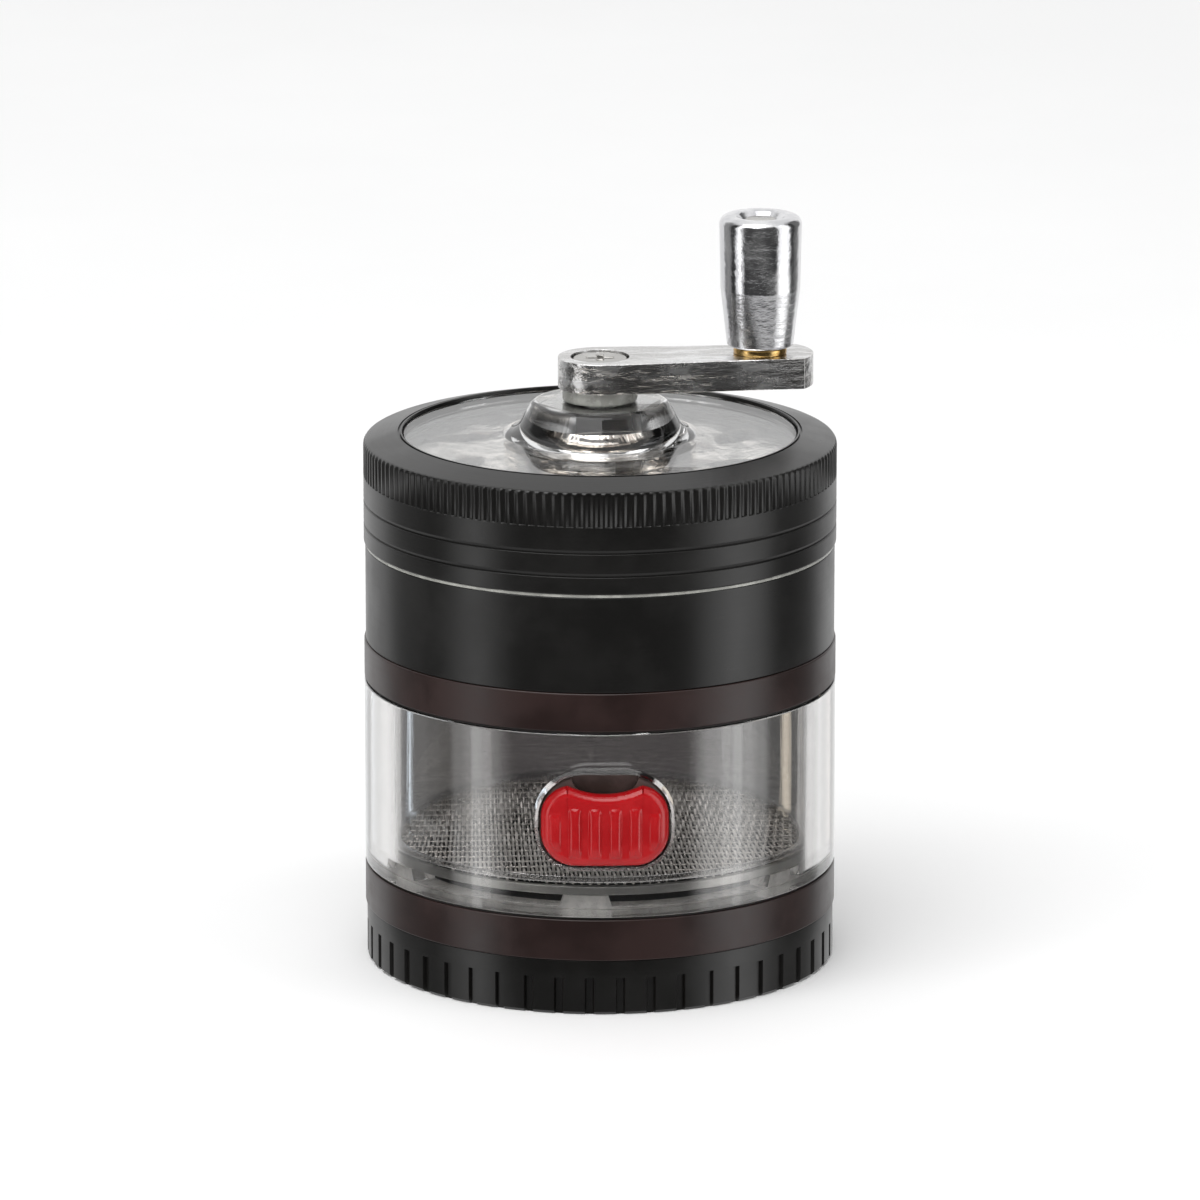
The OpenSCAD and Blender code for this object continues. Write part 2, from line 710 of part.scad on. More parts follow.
module crank_arm() {
    taper = asin((hub_r - arm_half) / crank_throw);
    square_hole = square_w + 2 * fix_gap;
    color("#d2d2d4") at_crank() difference() {
        translate([0, 0, arm_z]) linear_extrude(arm_t) {
            circle(r = hub_r);
            polygon([
                hub_r * [sin(taper), -cos(taper)], [crank_throw, -arm_half],
                [crank_throw, arm_half], hub_r * [sin(taper), cos(taper)]
            ]);
            translate([crank_throw, 0]) intersection() {
                circle(r = arm_end);
                translate([0, -arm_half]) square([arm_end, 2 * arm_half]);
            }
        }
        translate([0, 0, sunk_z]) cylinder(r = sunk_r, h = sunk_deep + cut);
        rotate([0, 0, -crank_angle]) translate([-square_hole / 2, -square_hole / 2, arm_z - cut])
            cube([square_hole, square_hole, arm_t]);
        translate([crank_throw, 0, arm_z - cut]) cylinder(r = pin_r + fix_gap, h = arm_t + 2 * cut);
    }
}

module crank_screw() { color("#b8b4ae") screw(sunk_z, 0); }

// Knob

module knob_pin() {
    color("#b0b0b0") at_knob() {
        translate([0, 0, arm_z]) cylinder(r = pin_r, h = dish_z - arm_z + face_gap);
        translate([0, 0, dish_z + face_gap]) cylinder(r = pin_head_r, h = pin_head_h);
    }
}

module knob_bush() {
    color("#c79a3a") at_knob() {
        tube(bush_collar_r, pin_r + fix_gap, arm_top, bush_collar_h);
        tube(bush_r, pin_r + fix_gap, arm_top, bush_collar_h + face_gap + bush_len);
    }
}

module knob() {
    color("#d6d6d8") at_knob() difference() {
        rotate_extrude() difference() {
            union() {
                polygon([
                    [0, knob_z], [knob_foot_r, knob_z], [knob_mid_r, knob_z + knob_taper_h],
                    [knob_top_r, knob_top - knob_edge], [knob_top_r - knob_edge, knob_top], [0, knob_top]
                ]);
                translate([knob_top_r - knob_edge, knob_top - knob_edge]) circle(r = knob_edge);
            }
            polygon([
                [0, dish_z], [dish_floor_r, dish_z], [dish_r, knob_top], [dish_r, knob_top + cut],
                [0, knob_top + cut]
            ]);
        }
        translate([0, 0, knob_z - cut]) cylinder(r = bush_r + run_gap, h = bush_len + face_gap + cut);
        translate([0, 0, knob_z]) cylinder(r = pin_r + fix_gap, h = knob_h);
    }
}

base_cup();
lower_band();
lower_gasket();
collector_tube();
sieve_mesh();
sieve_hoop();
sieve_clip();
upper_gasket();
upper_band();
pour_stopper();
stopper_grip();
chamber_body();
lower_tooth_plate();
centre_magnet();
glide_ring();
lid_ring();
window_seal();
lid_window();
window_clamp_ring();
hex_bearing();
spindle();
thrust_washer();
upper_tooth_plate();
rotor_screw();
crank_spacer();
crank_arm();
crank_screw();
knob_pin();
knob_bush();
knob();
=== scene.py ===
import json
import math

import bmesh
import bpy
from mathutils import Matrix, Vector


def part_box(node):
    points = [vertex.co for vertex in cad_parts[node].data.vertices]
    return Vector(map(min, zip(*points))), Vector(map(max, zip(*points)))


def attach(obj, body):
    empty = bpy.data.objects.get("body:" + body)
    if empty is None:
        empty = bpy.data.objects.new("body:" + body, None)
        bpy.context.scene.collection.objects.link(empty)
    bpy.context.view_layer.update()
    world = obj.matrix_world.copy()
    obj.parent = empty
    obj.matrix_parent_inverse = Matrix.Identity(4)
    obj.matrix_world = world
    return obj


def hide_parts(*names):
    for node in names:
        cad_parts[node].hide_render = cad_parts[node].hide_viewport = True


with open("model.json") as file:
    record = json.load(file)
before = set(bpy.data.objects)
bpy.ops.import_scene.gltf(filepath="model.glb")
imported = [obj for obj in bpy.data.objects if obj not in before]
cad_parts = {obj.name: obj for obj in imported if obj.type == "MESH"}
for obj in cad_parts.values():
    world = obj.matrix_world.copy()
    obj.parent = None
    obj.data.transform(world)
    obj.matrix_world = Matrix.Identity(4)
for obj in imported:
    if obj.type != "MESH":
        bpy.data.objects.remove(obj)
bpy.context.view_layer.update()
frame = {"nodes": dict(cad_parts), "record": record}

mm = 0.001
fullTurn = 2 * math.pi
record = frame["record"]
bodyOf = {node: body for body, nodes in record["behaviour"]["bodies"].items() for node in nodes}
slotOf = {part["node"]: part["material_slot"] for part in record["subparts"]}
scene = bpy.context.scene
print("frame loaded with", len(bodyOf), "nodes")

# camera, read off the ellipses of the lid, the joints and the base
cameraSet = {"distance": 1.2519, "elevation": 14.263, "azimuth": -1.2, "lookAt": 0.0484,
             "focalPixels": 9372.3, "imageWidth": 1200, "sensor": 36.0, "clip": (0.01, 50)}


def addCamera(s):
    turn, tilt = math.radians(s["azimuth"]), math.radians(s["elevation"])
    level = math.cos(tilt)
    back = Vector((math.sin(turn) * level, -math.cos(turn) * level, math.sin(tilt)))
    lens = bpy.data.cameras.new("photoCamera")
    lens.sensor_width = s["sensor"]
    lens.lens = s["focalPixels"] / s["imageWidth"] * s["sensor"]
    lens.clip_start, lens.clip_end = s["clip"]
    camera = bpy.data.objects.new("photoCamera", lens)
    camera.location = Vector((0, 0, s["lookAt"])) + back * s["distance"]
    camera.rotation_euler = (-back).to_track_quat("-Z", "Y").to_euler()
    scene.collection.objects.link(camera)
    scene.camera = camera


addCamera(cameraSet)
scene.view_settings.view_transform = "Standard"
print("camera placed")


# node helpers
def addNode(tree, kind, values=None, **settings):
    made = tree.nodes.new(kind)
    for key, value in settings.items():
        setattr(made, key, value)
    for key, value in (values or {}).items():
        if isinstance(value, bpy.types.NodeSocket):
            tree.links.new(value, made.inputs[key])
        else:
            made.inputs[key].default_value = value
    return made


def mathNode(tree, operation, first, second=0.0):
    return addNode(tree, "ShaderNodeMath", {0: first, 1: second}, operation=operation).outputs[0]


# goes smoothly from 0 to 1 between two values
def fade(tree, value, first, last):
    limits = {"Value": value, "From Min": first, "From Max": last}
    return addNode(tree, "ShaderNodeMapRange", limits, interpolation_type="SMOOTHSTEP").outputs[0]


def newGroup(name, inputs, outputs):
    group = bpy.data.node_groups.new(name, "ShaderNodeTree")
    for label, kind, value in inputs:
        socket = group.interface.new_socket(label, in_out="INPUT", socket_type=kind)
        socket.default_value = value
    for label, kind in outputs:
        group.interface.new_socket(label, in_out="OUTPUT", socket_type=kind)
    return group, addNode(group, "NodeGroupInput").outputs, addNode(group, "NodeGroupOutput").inputs


# lathe lines round the upright axis: fine rings on flat faces, fine hoops on walls
lineNoise = {"Scale": 1.0, "Detail": 3.0, "Roughness": 0.6}


def makeTurnedLines():
    group, given, result = newGroup(
        "turnedLines",
        [("Lines", "NodeSocketFloat", 9000.0), ("Broken", "NodeSocketFloat", 2.0)],
        [("Height", "NodeSocketFloat")])
    axes = addNode(group, "ShaderNodeSeparateXYZ",
                   {0: addNode(group, "ShaderNodeTexCoord").outputs["Object"]}).outputs
    squares = mathNode(group, "ADD", *(mathNode(group, "POWER", axes[i], 2.0) for i in (0, 1)))
    radius = mathNode(group, "MAXIMUM", mathNode(group, "SQRT", squares), 1e-5)
    along = mathNode(group, "MULTIPLY", mathNode(group, "ADD", axes[2], radius), given["Lines"])
    east, north = (mathNode(group, "MULTIPLY", mathNode(group, "DIVIDE", axes[i], radius), given["Broken"])
                   for i in (0, 1))
    wrapped = addNode(group, "ShaderNodeCombineXYZ", {0: east, 1: north, 2: along}).outputs[0]
    lines = addNode(group, "ShaderNodeTexNoise", {"Vector": wrapped, **lineNoise})
    group.links.new(lines.outputs["Fac"], result["Height"])
    return group


# cloudy handling marks, as a mask from 0 to 1
cloudNoise = {"Detail": 5.0, "Roughness": 0.62}


def makeSmudges():
    group, given, result = newGroup(
        "smudges",
        [("Scale", "NodeSocketFloat", 60.0), ("Stretch", "NodeSocketVector", (1, 1, 1)),
         ("Low", "NodeSocketFloat", 0.4), ("High", "NodeSocketFloat", 0.65)],
        [("Mask", "NodeSocketFloat")])
    place = addNode(group, "ShaderNodeTexCoord").outputs["Object"]
    drawn = addNode(group, "ShaderNodeVectorMath", {0: place, 1: given["Stretch"]}, operation="MULTIPLY")
    cloud = addNode(group, "ShaderNodeTexNoise",
                    {"Vector": drawn.outputs[0], "Scale": given["Scale"], **cloudNoise})
    group.links.new(fade(group, cloud.outputs["Fac"], given["Low"], given["High"]), result["Mask"])
    return group


turnedLines = makeTurnedLines()
smudges = makeSmudges()


def newFinish(name, **values):
    finish = bpy.data.materials.new(name)
    finish.use_nodes = True
    shader = finish.node_tree.nodes["Principled BSDF"]
    for key, value in values.items():
        shader.inputs[key.replace("_", " ")].default_value = value
    return finish, finish.node_tree, shader


def useGroup(tree, group, **values):
    placed = addNode(tree, "ShaderNodeGroup", node_tree=group)
    for key, value in values.items():
        placed.inputs[key].default_value = value
    return placed.outputs[0]


def spread(tree, mask, low, high):
    return addNode(tree, "ShaderNodeMapRange", {"Value": mask, "To Min": low, "To Max": high}).outputs[0]


def tint(tree, mask, low, high):
    mix = addNode(tree, "ShaderNodeMix", data_type="RGBA")
    tree.links.new(mask, mix.inputs[0])
    mix.inputs[6].default_value, mix.inputs[7].default_value = (*low, 1), (*high, 1)
    return mix.outputs[2]


# colour and gloss that change over the surface
def mottle(tree, shader, s, paint, gloss):
    tree.links.new(tint(tree, paint, s["dark"], s["light"]), shader.inputs["Base Color"])
    tree.links.new(spread(tree, gloss, *s["rough"]), shader.inputs["Roughness"])


def bump(tree, shader, s, height):
    made = addNode(tree, "ShaderNodeBump", {"Strength": s["bump"], "Distance": s["depth"], "Height": height})
    tree.links.new(made.outputs[0], shader.inputs["Normal"])


# one entry for each turned or plain finish: colours, gloss, lathe lines and handling marks
finishSet = {
    "black_anodised": {"dark": (0.0042, 0.0039, 0.0035), "light": (0.0068, 0.0063, 0.0057), "metal": 0.0,
                       "rough": (0.26, 0.38), "lines": 3600.0, "broken": 2.5, "bump": 0.26,
                       "depth": 0.00004, "marks": 70.0},
    "brown_band": {"dark": (0.0135, 0.0052, 0.0044), "light": (0.022, 0.0088, 0.0075), "metal": 0.0,
                   "rough": (0.27, 0.42), "lines": 3500.0, "broken": 5.0, "bump": 0.12,
                   "depth": 0.00004, "marks": 90.0},
    "bare_steel": {"dark": (0.40, 0.39, 0.37), "light": (0.60, 0.59, 0.57), "metal": 1.0,
                   "rough": (0.20, 0.34), "lines": 7000.0, "broken": 3.0, "bump": 0.15,
                   "depth": 0.00003, "marks": 160.0},
    "dark_steel": {"dark": (0.016, 0.0135, 0.0118), "light": (0.036, 0.030, 0.026), "metal": 1.0,
                   "rough": (0.32, 0.46), "lines": 5000.0, "broken": 3.0, "bump": 0.15,
                   "depth": 0.00003, "marks": 200.0},
    # painted reflection: the upper plate's colour runs from dark brown to bright along broad lathe arcs,
    # standing in for the swirling reflections of its turned face
    "painted_swirl_aluminium": {"dark": (0.17, 0.125, 0.095), "light": (0.97, 0.92, 0.86), "metal": 1.0,
                          "rough": (0.10, 0.22), "lines": 240.0, "broken": 2.4, "bump": 0.6,
                          "depth": 0.0009, "marks": 120.0, "paintedArcs": (0.34, 0.52)},
    "dull_aluminium": {"dark": (0.42, 0.42, 0.44), "light": (0.62, 0.59, 0.55), "metal": 1.0,
                       "rough": (0.18, 0.32), "lines": 3000.0, "broken": 2.0, "bump": 0.25,
                       "depth": 0.00004, "marks": 120.0},
    "brass": {"dark": (0.55, 0.34, 0.11), "light": (0.80, 0.56, 0.24), "metal": 1.0,
              "rough": (0.14, 0.28), "lines": 9000.0, "broken": 3.0, "bump": 0.15,
              "depth": 0.00003, "marks": 300.0},
    "black_rubber": {"dark": (0.010, 0.009, 0.008), "light": (0.018, 0.016, 0.015), "metal": 0.0,
                     "rough": (0.55, 0.75), "lines": 2500.0, "broken": 40.0, "bump": 0.15,
                     "depth": 0.00005, "marks": 200.0},
    "white_nylon": {"dark": (0.56, 0.56, 0.53), "light": (0.72, 0.72, 0.69), "metal": 0.0,
                    "rough": (0.35, 0.50), "lines": 4000.0, "broken": 6.0, "bump": 0.10,
                    "depth": 0.00004, "marks": 150.0},
}
finishSet["dull_steel"] = dict(finishSet["bare_steel"], dark=(0.34, 0.34, 0.33), light=(0.50, 0.50, 0.48),
                               rough=(0.36, 0.50))
finishSet["sieve_steel"] = dict(finishSet["bare_steel"], dark=(0.72, 0.69, 0.66), light=(0.93, 0.90, 0.87),
                                rough=(0.24, 0.38))
finishSet["brown_rubber"] = dict(finishSet["black_rubber"], dark=(0.042, 0.026, 0.022),
                                 light=(0.075, 0.048, 0.043), rough=(0.30, 0.45), bump=0.12)
finishSet["grey_nylon"] = dict(finishSet["white_nylon"], dark=(0.26, 0.26, 0.24), light=(0.40, 0.40, 0.37),
                               rough=(0.22, 0.34), marks=300.0)
marksShare = 0.6  # how much of the gloss follows the handling marks; the rest follows the lathe lines


def turnedFinish(name, s):
    finish, tree, shader = newFinish(name, Metallic=s["metal"])
    lines = useGroup(tree, turnedLines, Lines=s["lines"], Broken=s["broken"])
    marks = useGroup(tree, smudges, Scale=s["marks"])
    paint = fade(tree, lines, *s["paintedArcs"]) if "paintedArcs" in s else marks  # broad lathe rings, painted into the colour as dark and bright reflection arcs
    gloss = mathNode(tree, "ADD", mathNode(tree, "MULTIPLY", marks, marksShare),
                     mathNode(tree, "MULTIPLY", lines, 1 - marksShare))
    mottle(tree, shader, s, paint, gloss)
    bump(tree, shader, s, lines)
    return finish


finishes = {name: turnedFinish(name, s) for name, s in finishSet.items()}

# plated parts: bright, with the faint ripple and mottling of polished castings, drawn out along the arm
chromeSet = {"dark": (0.66, 0.66, 0.68), "light": (0.86, 0.86, 0.87), "rough": (0.06, 0.24),
             "marks": 260.0, "stretch": (1.0, 1.0, 0.35), "ripple": 700.0, "drawn": (0.5, 0.5, 1.0),
             "rippleFrom": (0.2, 0.8), "bump": 0.5, "depth": 0.00008}
armSet = dict(chromeSet, dark=(0.55, 0.54, 0.53), light=(0.88, 0.88, 0.88), rough=(0.12, 0.32),
              marks=420.0, stretch=(0.3, 1.0, 1.0), ripple=620.0, drawn=(0.2, 0.6, 1.0),
              bump=0.8, depth=0.00022)


def rippleMask(tree, s):
    low, high = s["rippleFrom"]
    return useGroup(tree, smudges, Scale=s["ripple"], Stretch=s["drawn"], Low=low, High=high)


def chromeFinish(name, s):
    finish, tree, shader = newFinish(name, Metallic=1.0)
    marks = useGroup(tree, smudges, Scale=s["marks"], Stretch=s["stretch"])
    mottle(tree, shader, s, marks, marks)
    bump(tree, shader, s, rippleMask(tree, s))
    return finish


finishes["chrome"] = chromeFinish("chrome", chromeSet)

# clear parts with cloudy wiping marks and a ripple: drawn out along the tube, slow on the window
acrylicIor = 1.49
clearSet = {"tint": (0.89, 0.88, 0.87), "clear": 1.0, "rough": (0.0, 0.05), "marks": 90.0,
            "stretch": (1, 1, 0.4), "ripple": 420.0, "drawn": (1, 1, 0.02), "rippleFrom": (0.1, 0.9),
            "bump": 0.12, "depth": 0.00005, "coat": 0.8}
windowSet = dict(clearSet, tint=(0.95, 0.955, 0.955), ripple=120.0, drawn=(1, 1, 0.3), bump=0.06, coat=0.0)
# the hex pocket's walls: rough, with a dark brown tint that paints shade onto the hex seen in the boss
shadedPocketSet = dict(windowSet, tint=(0.60, 0.54, 0.50), rough=(0.22, 0.34))
clipSet = dict(clearSet, tint=(0.55, 0.55, 0.55))


def clearFinish(name, s):
    finish, tree, shader = newFinish(
        name, Metallic=0.0, Transmission_Weight=s["clear"], IOR=acrylicIor, Base_Color=(*s["tint"], 1),
        Coat_Weight=s["coat"])
    marks = useGroup(tree, smudges, Scale=s["marks"], Stretch=s["stretch"])
    tree.links.new(spread(tree, marks, *s["rough"]), shader.inputs["Roughness"])
    bump(tree, shader, s, rippleMask(tree, s))
    return finish


finishes["clear_acrylic"] = clearFinish("clear_acrylic", clearSet)
milledShadedAcrylic = clearFinish("milled_shaded_acrylic", shadedPocketSet)

# unpolished moulded acrylic, mottled
frostSet = {"dark": (0.84, 0.825, 0.80), "light": (1.0, 0.98, 0.95), "clear": 0.05, "rough": (0.25, 0.55),
            "marks": 620.0, "bump": 0.4, "depth": 0.0001}


def frostFinish(s):
    finish, tree, shader = newFinish("frosted_acrylic", Metallic=0.0, Transmission_Weight=s["clear"],
                                     IOR=acrylicIor)
    marks = useGroup(tree, smudges, Scale=s["marks"])
    mottle(tree, shader, s, marks, marks)
    bump(tree, shader, s, marks)
    return finish


frostedAcrylic = frostFinish(frostSet)

# moulded red plastic with a fine spark texture
redSet = {"dark": (0.34, 0.0045, 0.007), "light": (0.40, 0.0062, 0.009), "rough": (0.14, 0.22),
          "marks": 220.0, "grain": 2600.0, "grainFrom": (0.3, 0.7), "bump": 0.10, "depth": 0.00004}


def redFinish(s):
    finish, tree, shader = newFinish("red_plastic", Metallic=0.0)
    marks = useGroup(tree, smudges, Scale=s["marks"])
    mottle(tree, shader, s, marks, marks)
    low, high = s["grainFrom"]
    bump(tree, shader, s, useGroup(tree, smudges, Scale=s["grain"], Low=low, High=high))
    return finish


finishes["red_plastic"] = redFinish(redSet)

# nodes with a finish of their own instead of their slot's
ownFinish = {
    "lid_window": clearFinish("window_acrylic", windowSet),
    "sieve_clip": clearFinish("smoky_acrylic", clipSet),
    "sieve_hoop": finishes["dull_steel"],
    "sieve_mesh": finishes["sieve_steel"],
    "upper_tooth_plate": finishes["painted_swirl_aluminium"],
    "lower_tooth_plate": finishes["dull_aluminium"],
    "glide_ring": finishes["grey_nylon"],
    "pour_stopper": finishes["brown_rubber"],
    "crank_spacer": finishes["grey_nylon"],
    "crank_arm": chromeFinish("streaked_chrome", armSet),
}
print("finishes made for", len(slotOf), "nodes")

# live rounding of milled edges
edgeSet = {"segments": 2, "profile": 0.5, "angle": 35}


# every piece keeps its place in its mesh, rides on its node's body and stands for that node
def makePiece(name, bm, node, edge=0.0, sharp=50):
    mesh = bpy.data.meshes.new(name)
    bm.to_mesh(mesh)
    bm.free()
    mesh.shade_smooth()
    mesh.set_sharp_from_angle(angle=math.radians(sharp))
    piece = bpy.data.objects.new(name, mesh)
    scene.collection.objects.link(piece)
    mesh.materials.append(ownFinish.get(node) or finishes[slotOf[node]])
    if edge:
        rounding = piece.modifiers.new("rounding", "BEVEL")
        rounding.width, rounding.segments = edge * mm, edgeSet["segments"]
        rounding.profile = edgeSet["profile"]
        rounding.limit_method, rounding.angle_limit = "ANGLE", math.radians(edgeSet["angle"])
    shading = piece.modifiers.new("shading", "WEIGHTED_NORMAL")
    shading.keep_sharp = True
    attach(piece, bodyOf[node])
    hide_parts(node)
    return piece


sectors = 12  # a turned shape is spun over one sector, which is then copied round
merging = 1e-6  # points nearer than this become one
flush = 1e-7  # what is nearer than this to a plane lies in it
largeSegments = 8  # segments of a rounding of a millimetre or more


# an outline of (radius, height, rounding) in metres, turned about an upright axis
def spinOutline(outline, steps, centre=(0.0, 0.0), segments=3):
    bm = bmesh.new()
    verts = [bm.verts.new((centre[0] + r, centre[1], z)) for r, z, rounding in outline]
    for first, second in zip(verts, verts[1:]):
        bm.edges.new((first, second))
    if outline[0][0] > 0 or outline[-1][0] > 0:
        bm.edges.new((verts[-1], verts[0]))
    for rounding in sorted({point[2] for point in outline if point[2]}):
        corners = [v for v, point in zip(verts, outline) if point[2] == rounding]
        bmesh.ops.bevel(bm, geom=corners, offset=rounding, offset_type="OFFSET", profile=0.5, material=-1,
                        affect="VERTICES", segments=segments if rounding < mm else largeSegments)
    upright = {"cent": (*centre, 0), "axis": (0, 0, 1), "dvec": (0, 0, 0), "use_merge": False}
    bmesh.ops.spin(bm, geom=bm.verts[:] + bm.edges[:], angle=fullTurn / sectors, steps=steps // sectors,
                   use_duplicate=False, **upright)
    bmesh.ops.spin(bm, geom=bm.verts[:] + bm.edges[:] + bm.faces[:], angle=fullTurn * (sectors - 1) / sectors,
                   steps=sectors - 1, use_duplicate=True, **upright)
    bmesh.ops.remove_doubles(bm, verts=bm.verts, dist=merging)
    bmesh.ops.recalc_face_normals(bm, faces=bm.faces)
    return bm


# inner and outer radius, foot and top of a turned node
def ringSize(node):
    points = [v.co for v in frame["nodes"][node].data.vertices]
    radii = [math.hypot(p.x, p.y) for p in points]
    return min(radii), max(radii), min(p.z for p in points), max(p.z for p in points)


# clear pieces stay a hair off what they touch, so that no two faces share a plane
hair = 0.02 * mm

# plain rings: node, rounding of its edges in mm, and steps round the axis
ringSet = {
    "lowerBand": ("lower_band", 0.22, 264), "upperBand": ("upper_band", 0.22, 264),
    "lowerGasket": ("lower_gasket", 0.08, 192), "upperGasket": ("upper_gasket", 0.08, 192),
    "sieveHoop": ("sieve_hoop", 0.15, 192), "sieveClip": ("sieve_clip", 0.25, 192),
    "glideRing": ("glide_ring", 0.08, 264), "windowSeal": ("window_seal", 0.08, 192),
    "windowClampRing": ("window_clamp_ring", 0.2, 192), "thrustWasher": ("thrust_washer", 0.05, 60),
    "crankSpacer": ("crank_spacer", 0.3, 96),
}
for name, (node, rounding, steps) in ringSet.items():
    inner, outer, foot, top = ringSize(node)
    edge, seat = rounding * mm, foot + hair if slotOf[node] == "clear_acrylic" else foot
    outline = [(inner, seat, edge), (outer, seat, edge), (outer, top, edge), (inner, top, edge)]
    makePiece(name, spinOutline(outline, steps), node)
print("rings made:", len(ringSet))


# pulls the outer wall in at evenly spaced columns, to cut upright grooves
def cutGrooves(bm, count, s, wallR, low, high):
    step, deep = fullTurn / (count * s["columns"]), s["deep"] * mm
    for v in bm.verts:
        r = math.hypot(v.co.x, v.co.y)
        if r > wallR - deep and low < v.co.z < high:
            if round(math.atan2(v.co.y, v.co.x) / step) % s["columns"] in s["cut"]:
                v.co.x, v.co.y = v.co.x * (wallR - deep) / r, v.co.y * (wallR - deep) / r


# base cup with its grip grooves, powder hollow and neck
baseSet = {"grooves": 48, "columns": 20, "cut": (8, 9, 10, 11, 12), "deep": 0.5, "grooveTop": 5.0,
           "grooveEnd": 0.05, "chamfer": 0.4, "wallTop": 7.4, "wallEdge": 0.15, "neckR": 27.95,
           "neckWall": 2.0, "neckEdge": 0.3, "floor": 2.0, "hollowRound": 0.9}


def addBase(s):
    inner, outer, foot, top = ringSize("base_cup")
    neck, bore = s["neckR"] * mm, (s["neckR"] - s["neckWall"]) * mm
    wallTop, floor, neckEdge = s["wallTop"] * mm, s["floor"] * mm, s["neckEdge"] * mm
    chamfer, grooveTop, grooveEnd = s["chamfer"] * mm, s["grooveTop"] * mm, s["grooveEnd"] * mm
    bm = spinOutline([
        (0, foot, 0), (outer - chamfer, foot, 0), (outer, foot + chamfer, 0),
        (outer, grooveTop - grooveEnd, 0), (outer, grooveTop, 0), (outer, wallTop, s["wallEdge"] * mm),
        (neck, wallTop, 0), (neck, top, neckEdge), (bore, top, neckEdge),
        (bore, floor, s["hollowRound"] * mm), (0, floor, 0)], s["grooves"] * s["columns"])
    cutGrooves(bm, s["grooves"], s, outer, foot - mm, grooveTop - grooveEnd / 2)
    makePiece("baseCup", bm, "base_cup", sharp=32)


addBase(baseSet)
print("base made")

# clear tube with its ledge, lugs and pouring hole
tubeSet = {"steps": 360, "wall": 4.0, "ledgeW": 2.5, "ledgeH": 0.8, "edge": 0.18,
           "lugs": 6, "lugH": 1.5, "firstLug": -95, "lugHalf": 6,
           "holeW": 17.6, "holeH": 12.6, "holeCorners": (4.7, 6.3), "holeZ": 13.1,
           "cutIn": 3.0, "cutOut": 1.0, "broken": 0.35, "slices": 22}


# oblong prism through the front wall, with its lower and upper corner radii:
# a circle whose quarters are drawn apart, then extruded along -Y and flared
def oblong(width, height, corners, middle, backR, frontR, flare=0.0, segments=64):
    bm = bmesh.new()
    bmesh.ops.create_circle(bm, cap_ends=True, radius=1, segments=segments)
    bmesh.ops.rotate(bm, verts=bm.verts, matrix=Matrix.Rotation(math.pi / segments, 3, "Z"))
    for v in bm.verts:
        r = corners[v.co.y > 0]
        v.co.x = v.co.x * r + math.copysign(width / 2 - r, v.co.x)
        v.co.y = v.co.y * r + math.copysign(height / 2 - r, v.co.y)
    bmesh.ops.rotate(bm, verts=bm.verts, matrix=Matrix.Rotation(math.pi / 2, 3, "X"))
    bmesh.ops.translate(bm, verts=bm.verts, vec=(0, -backR, middle))
    drawn = bmesh.ops.extrude_face_region(bm, geom=bm.faces[:])["geom"]
    front = [v for v in drawn if isinstance(v, bmesh.types.BMVert)]
    bmesh.ops.translate(bm, verts=front, vec=(0, backR - frontR, 0))
    for v in front:
        r, up = corners[v.co.z > middle], v.co.z - middle
        fromCentre = Vector((v.co.x - math.copysign(width / 2 - r, v.co.x), 0,
                             up - math.copysign(height / 2 - r, up)))
        v.co += fromCentre.normalized() * flare
    bmesh.ops.recalc_face_normals(bm, faces=bm.faces)
    return bm


def sliceShape(bm, axis, first, last, step):
    across = Vector((0, 0, 0))
    across[axis] = 1
    for i in range(int(round((last - first) / step)) + 1):
        bmesh.ops.bisect_plane(bm, geom=bm.verts[:] + bm.edges[:] + bm.faces[:],
                               plane_co=across * (first + i * step), plane_no=across, dist=flush)


def bendRound(bm):
    for v in bm.verts:
        v.co.y = -math.sqrt(v.co.y ** 2 - v.co.x ** 2)


# takes the second shape out of the first and gives the result back as a bmesh
def carve(bm, cutter):
    pair = []
    for shape in (bm, cutter):
        mesh = bpy.data.meshes.new("carving")
        shape.to_mesh(mesh)
        shape.free()
        pair.append(bpy.data.objects.new("carving", mesh))
        scene.collection.objects.link(pair[-1])
    cutting = pair[0].modifiers.new("cutting", "BOOLEAN")
    cutting.operation, cutting.solver, cutting.object = "DIFFERENCE", "EXACT", pair[1]
    result = bmesh.new()
    result.from_object(pair[0], bpy.context.evaluated_depsgraph_get())
    for shape in pair:
        bpy.data.meshes.remove(shape.data)
    bmesh.ops.remove_doubles(result, verts=result.verts, dist=flush)
    return result


# takes the pouring hole out of the tube's front, with a broken edge
def cutHole(bm, s, middle, bore, outer):
    width, height, broken = s["holeW"] * mm, s["holeH"] * mm, s["broken"] * mm
    corners = [r * mm for r in s["holeCorners"]]
    hole = oblong(width, height, corners, middle, bore - s["cutIn"] * mm, outer + s["cutOut"] * mm)
    flared = oblong(width - 2 * broken, height - 2 * broken, [r - broken for r in corners], middle,
                    outer - 2 * broken, outer + broken, flare=3 * broken)
    sliceShape(flared, 0, -width / 2, width / 2, width / s["slices"])
    bendRound(flared)
    return carve(carve(bm, hole), flared)


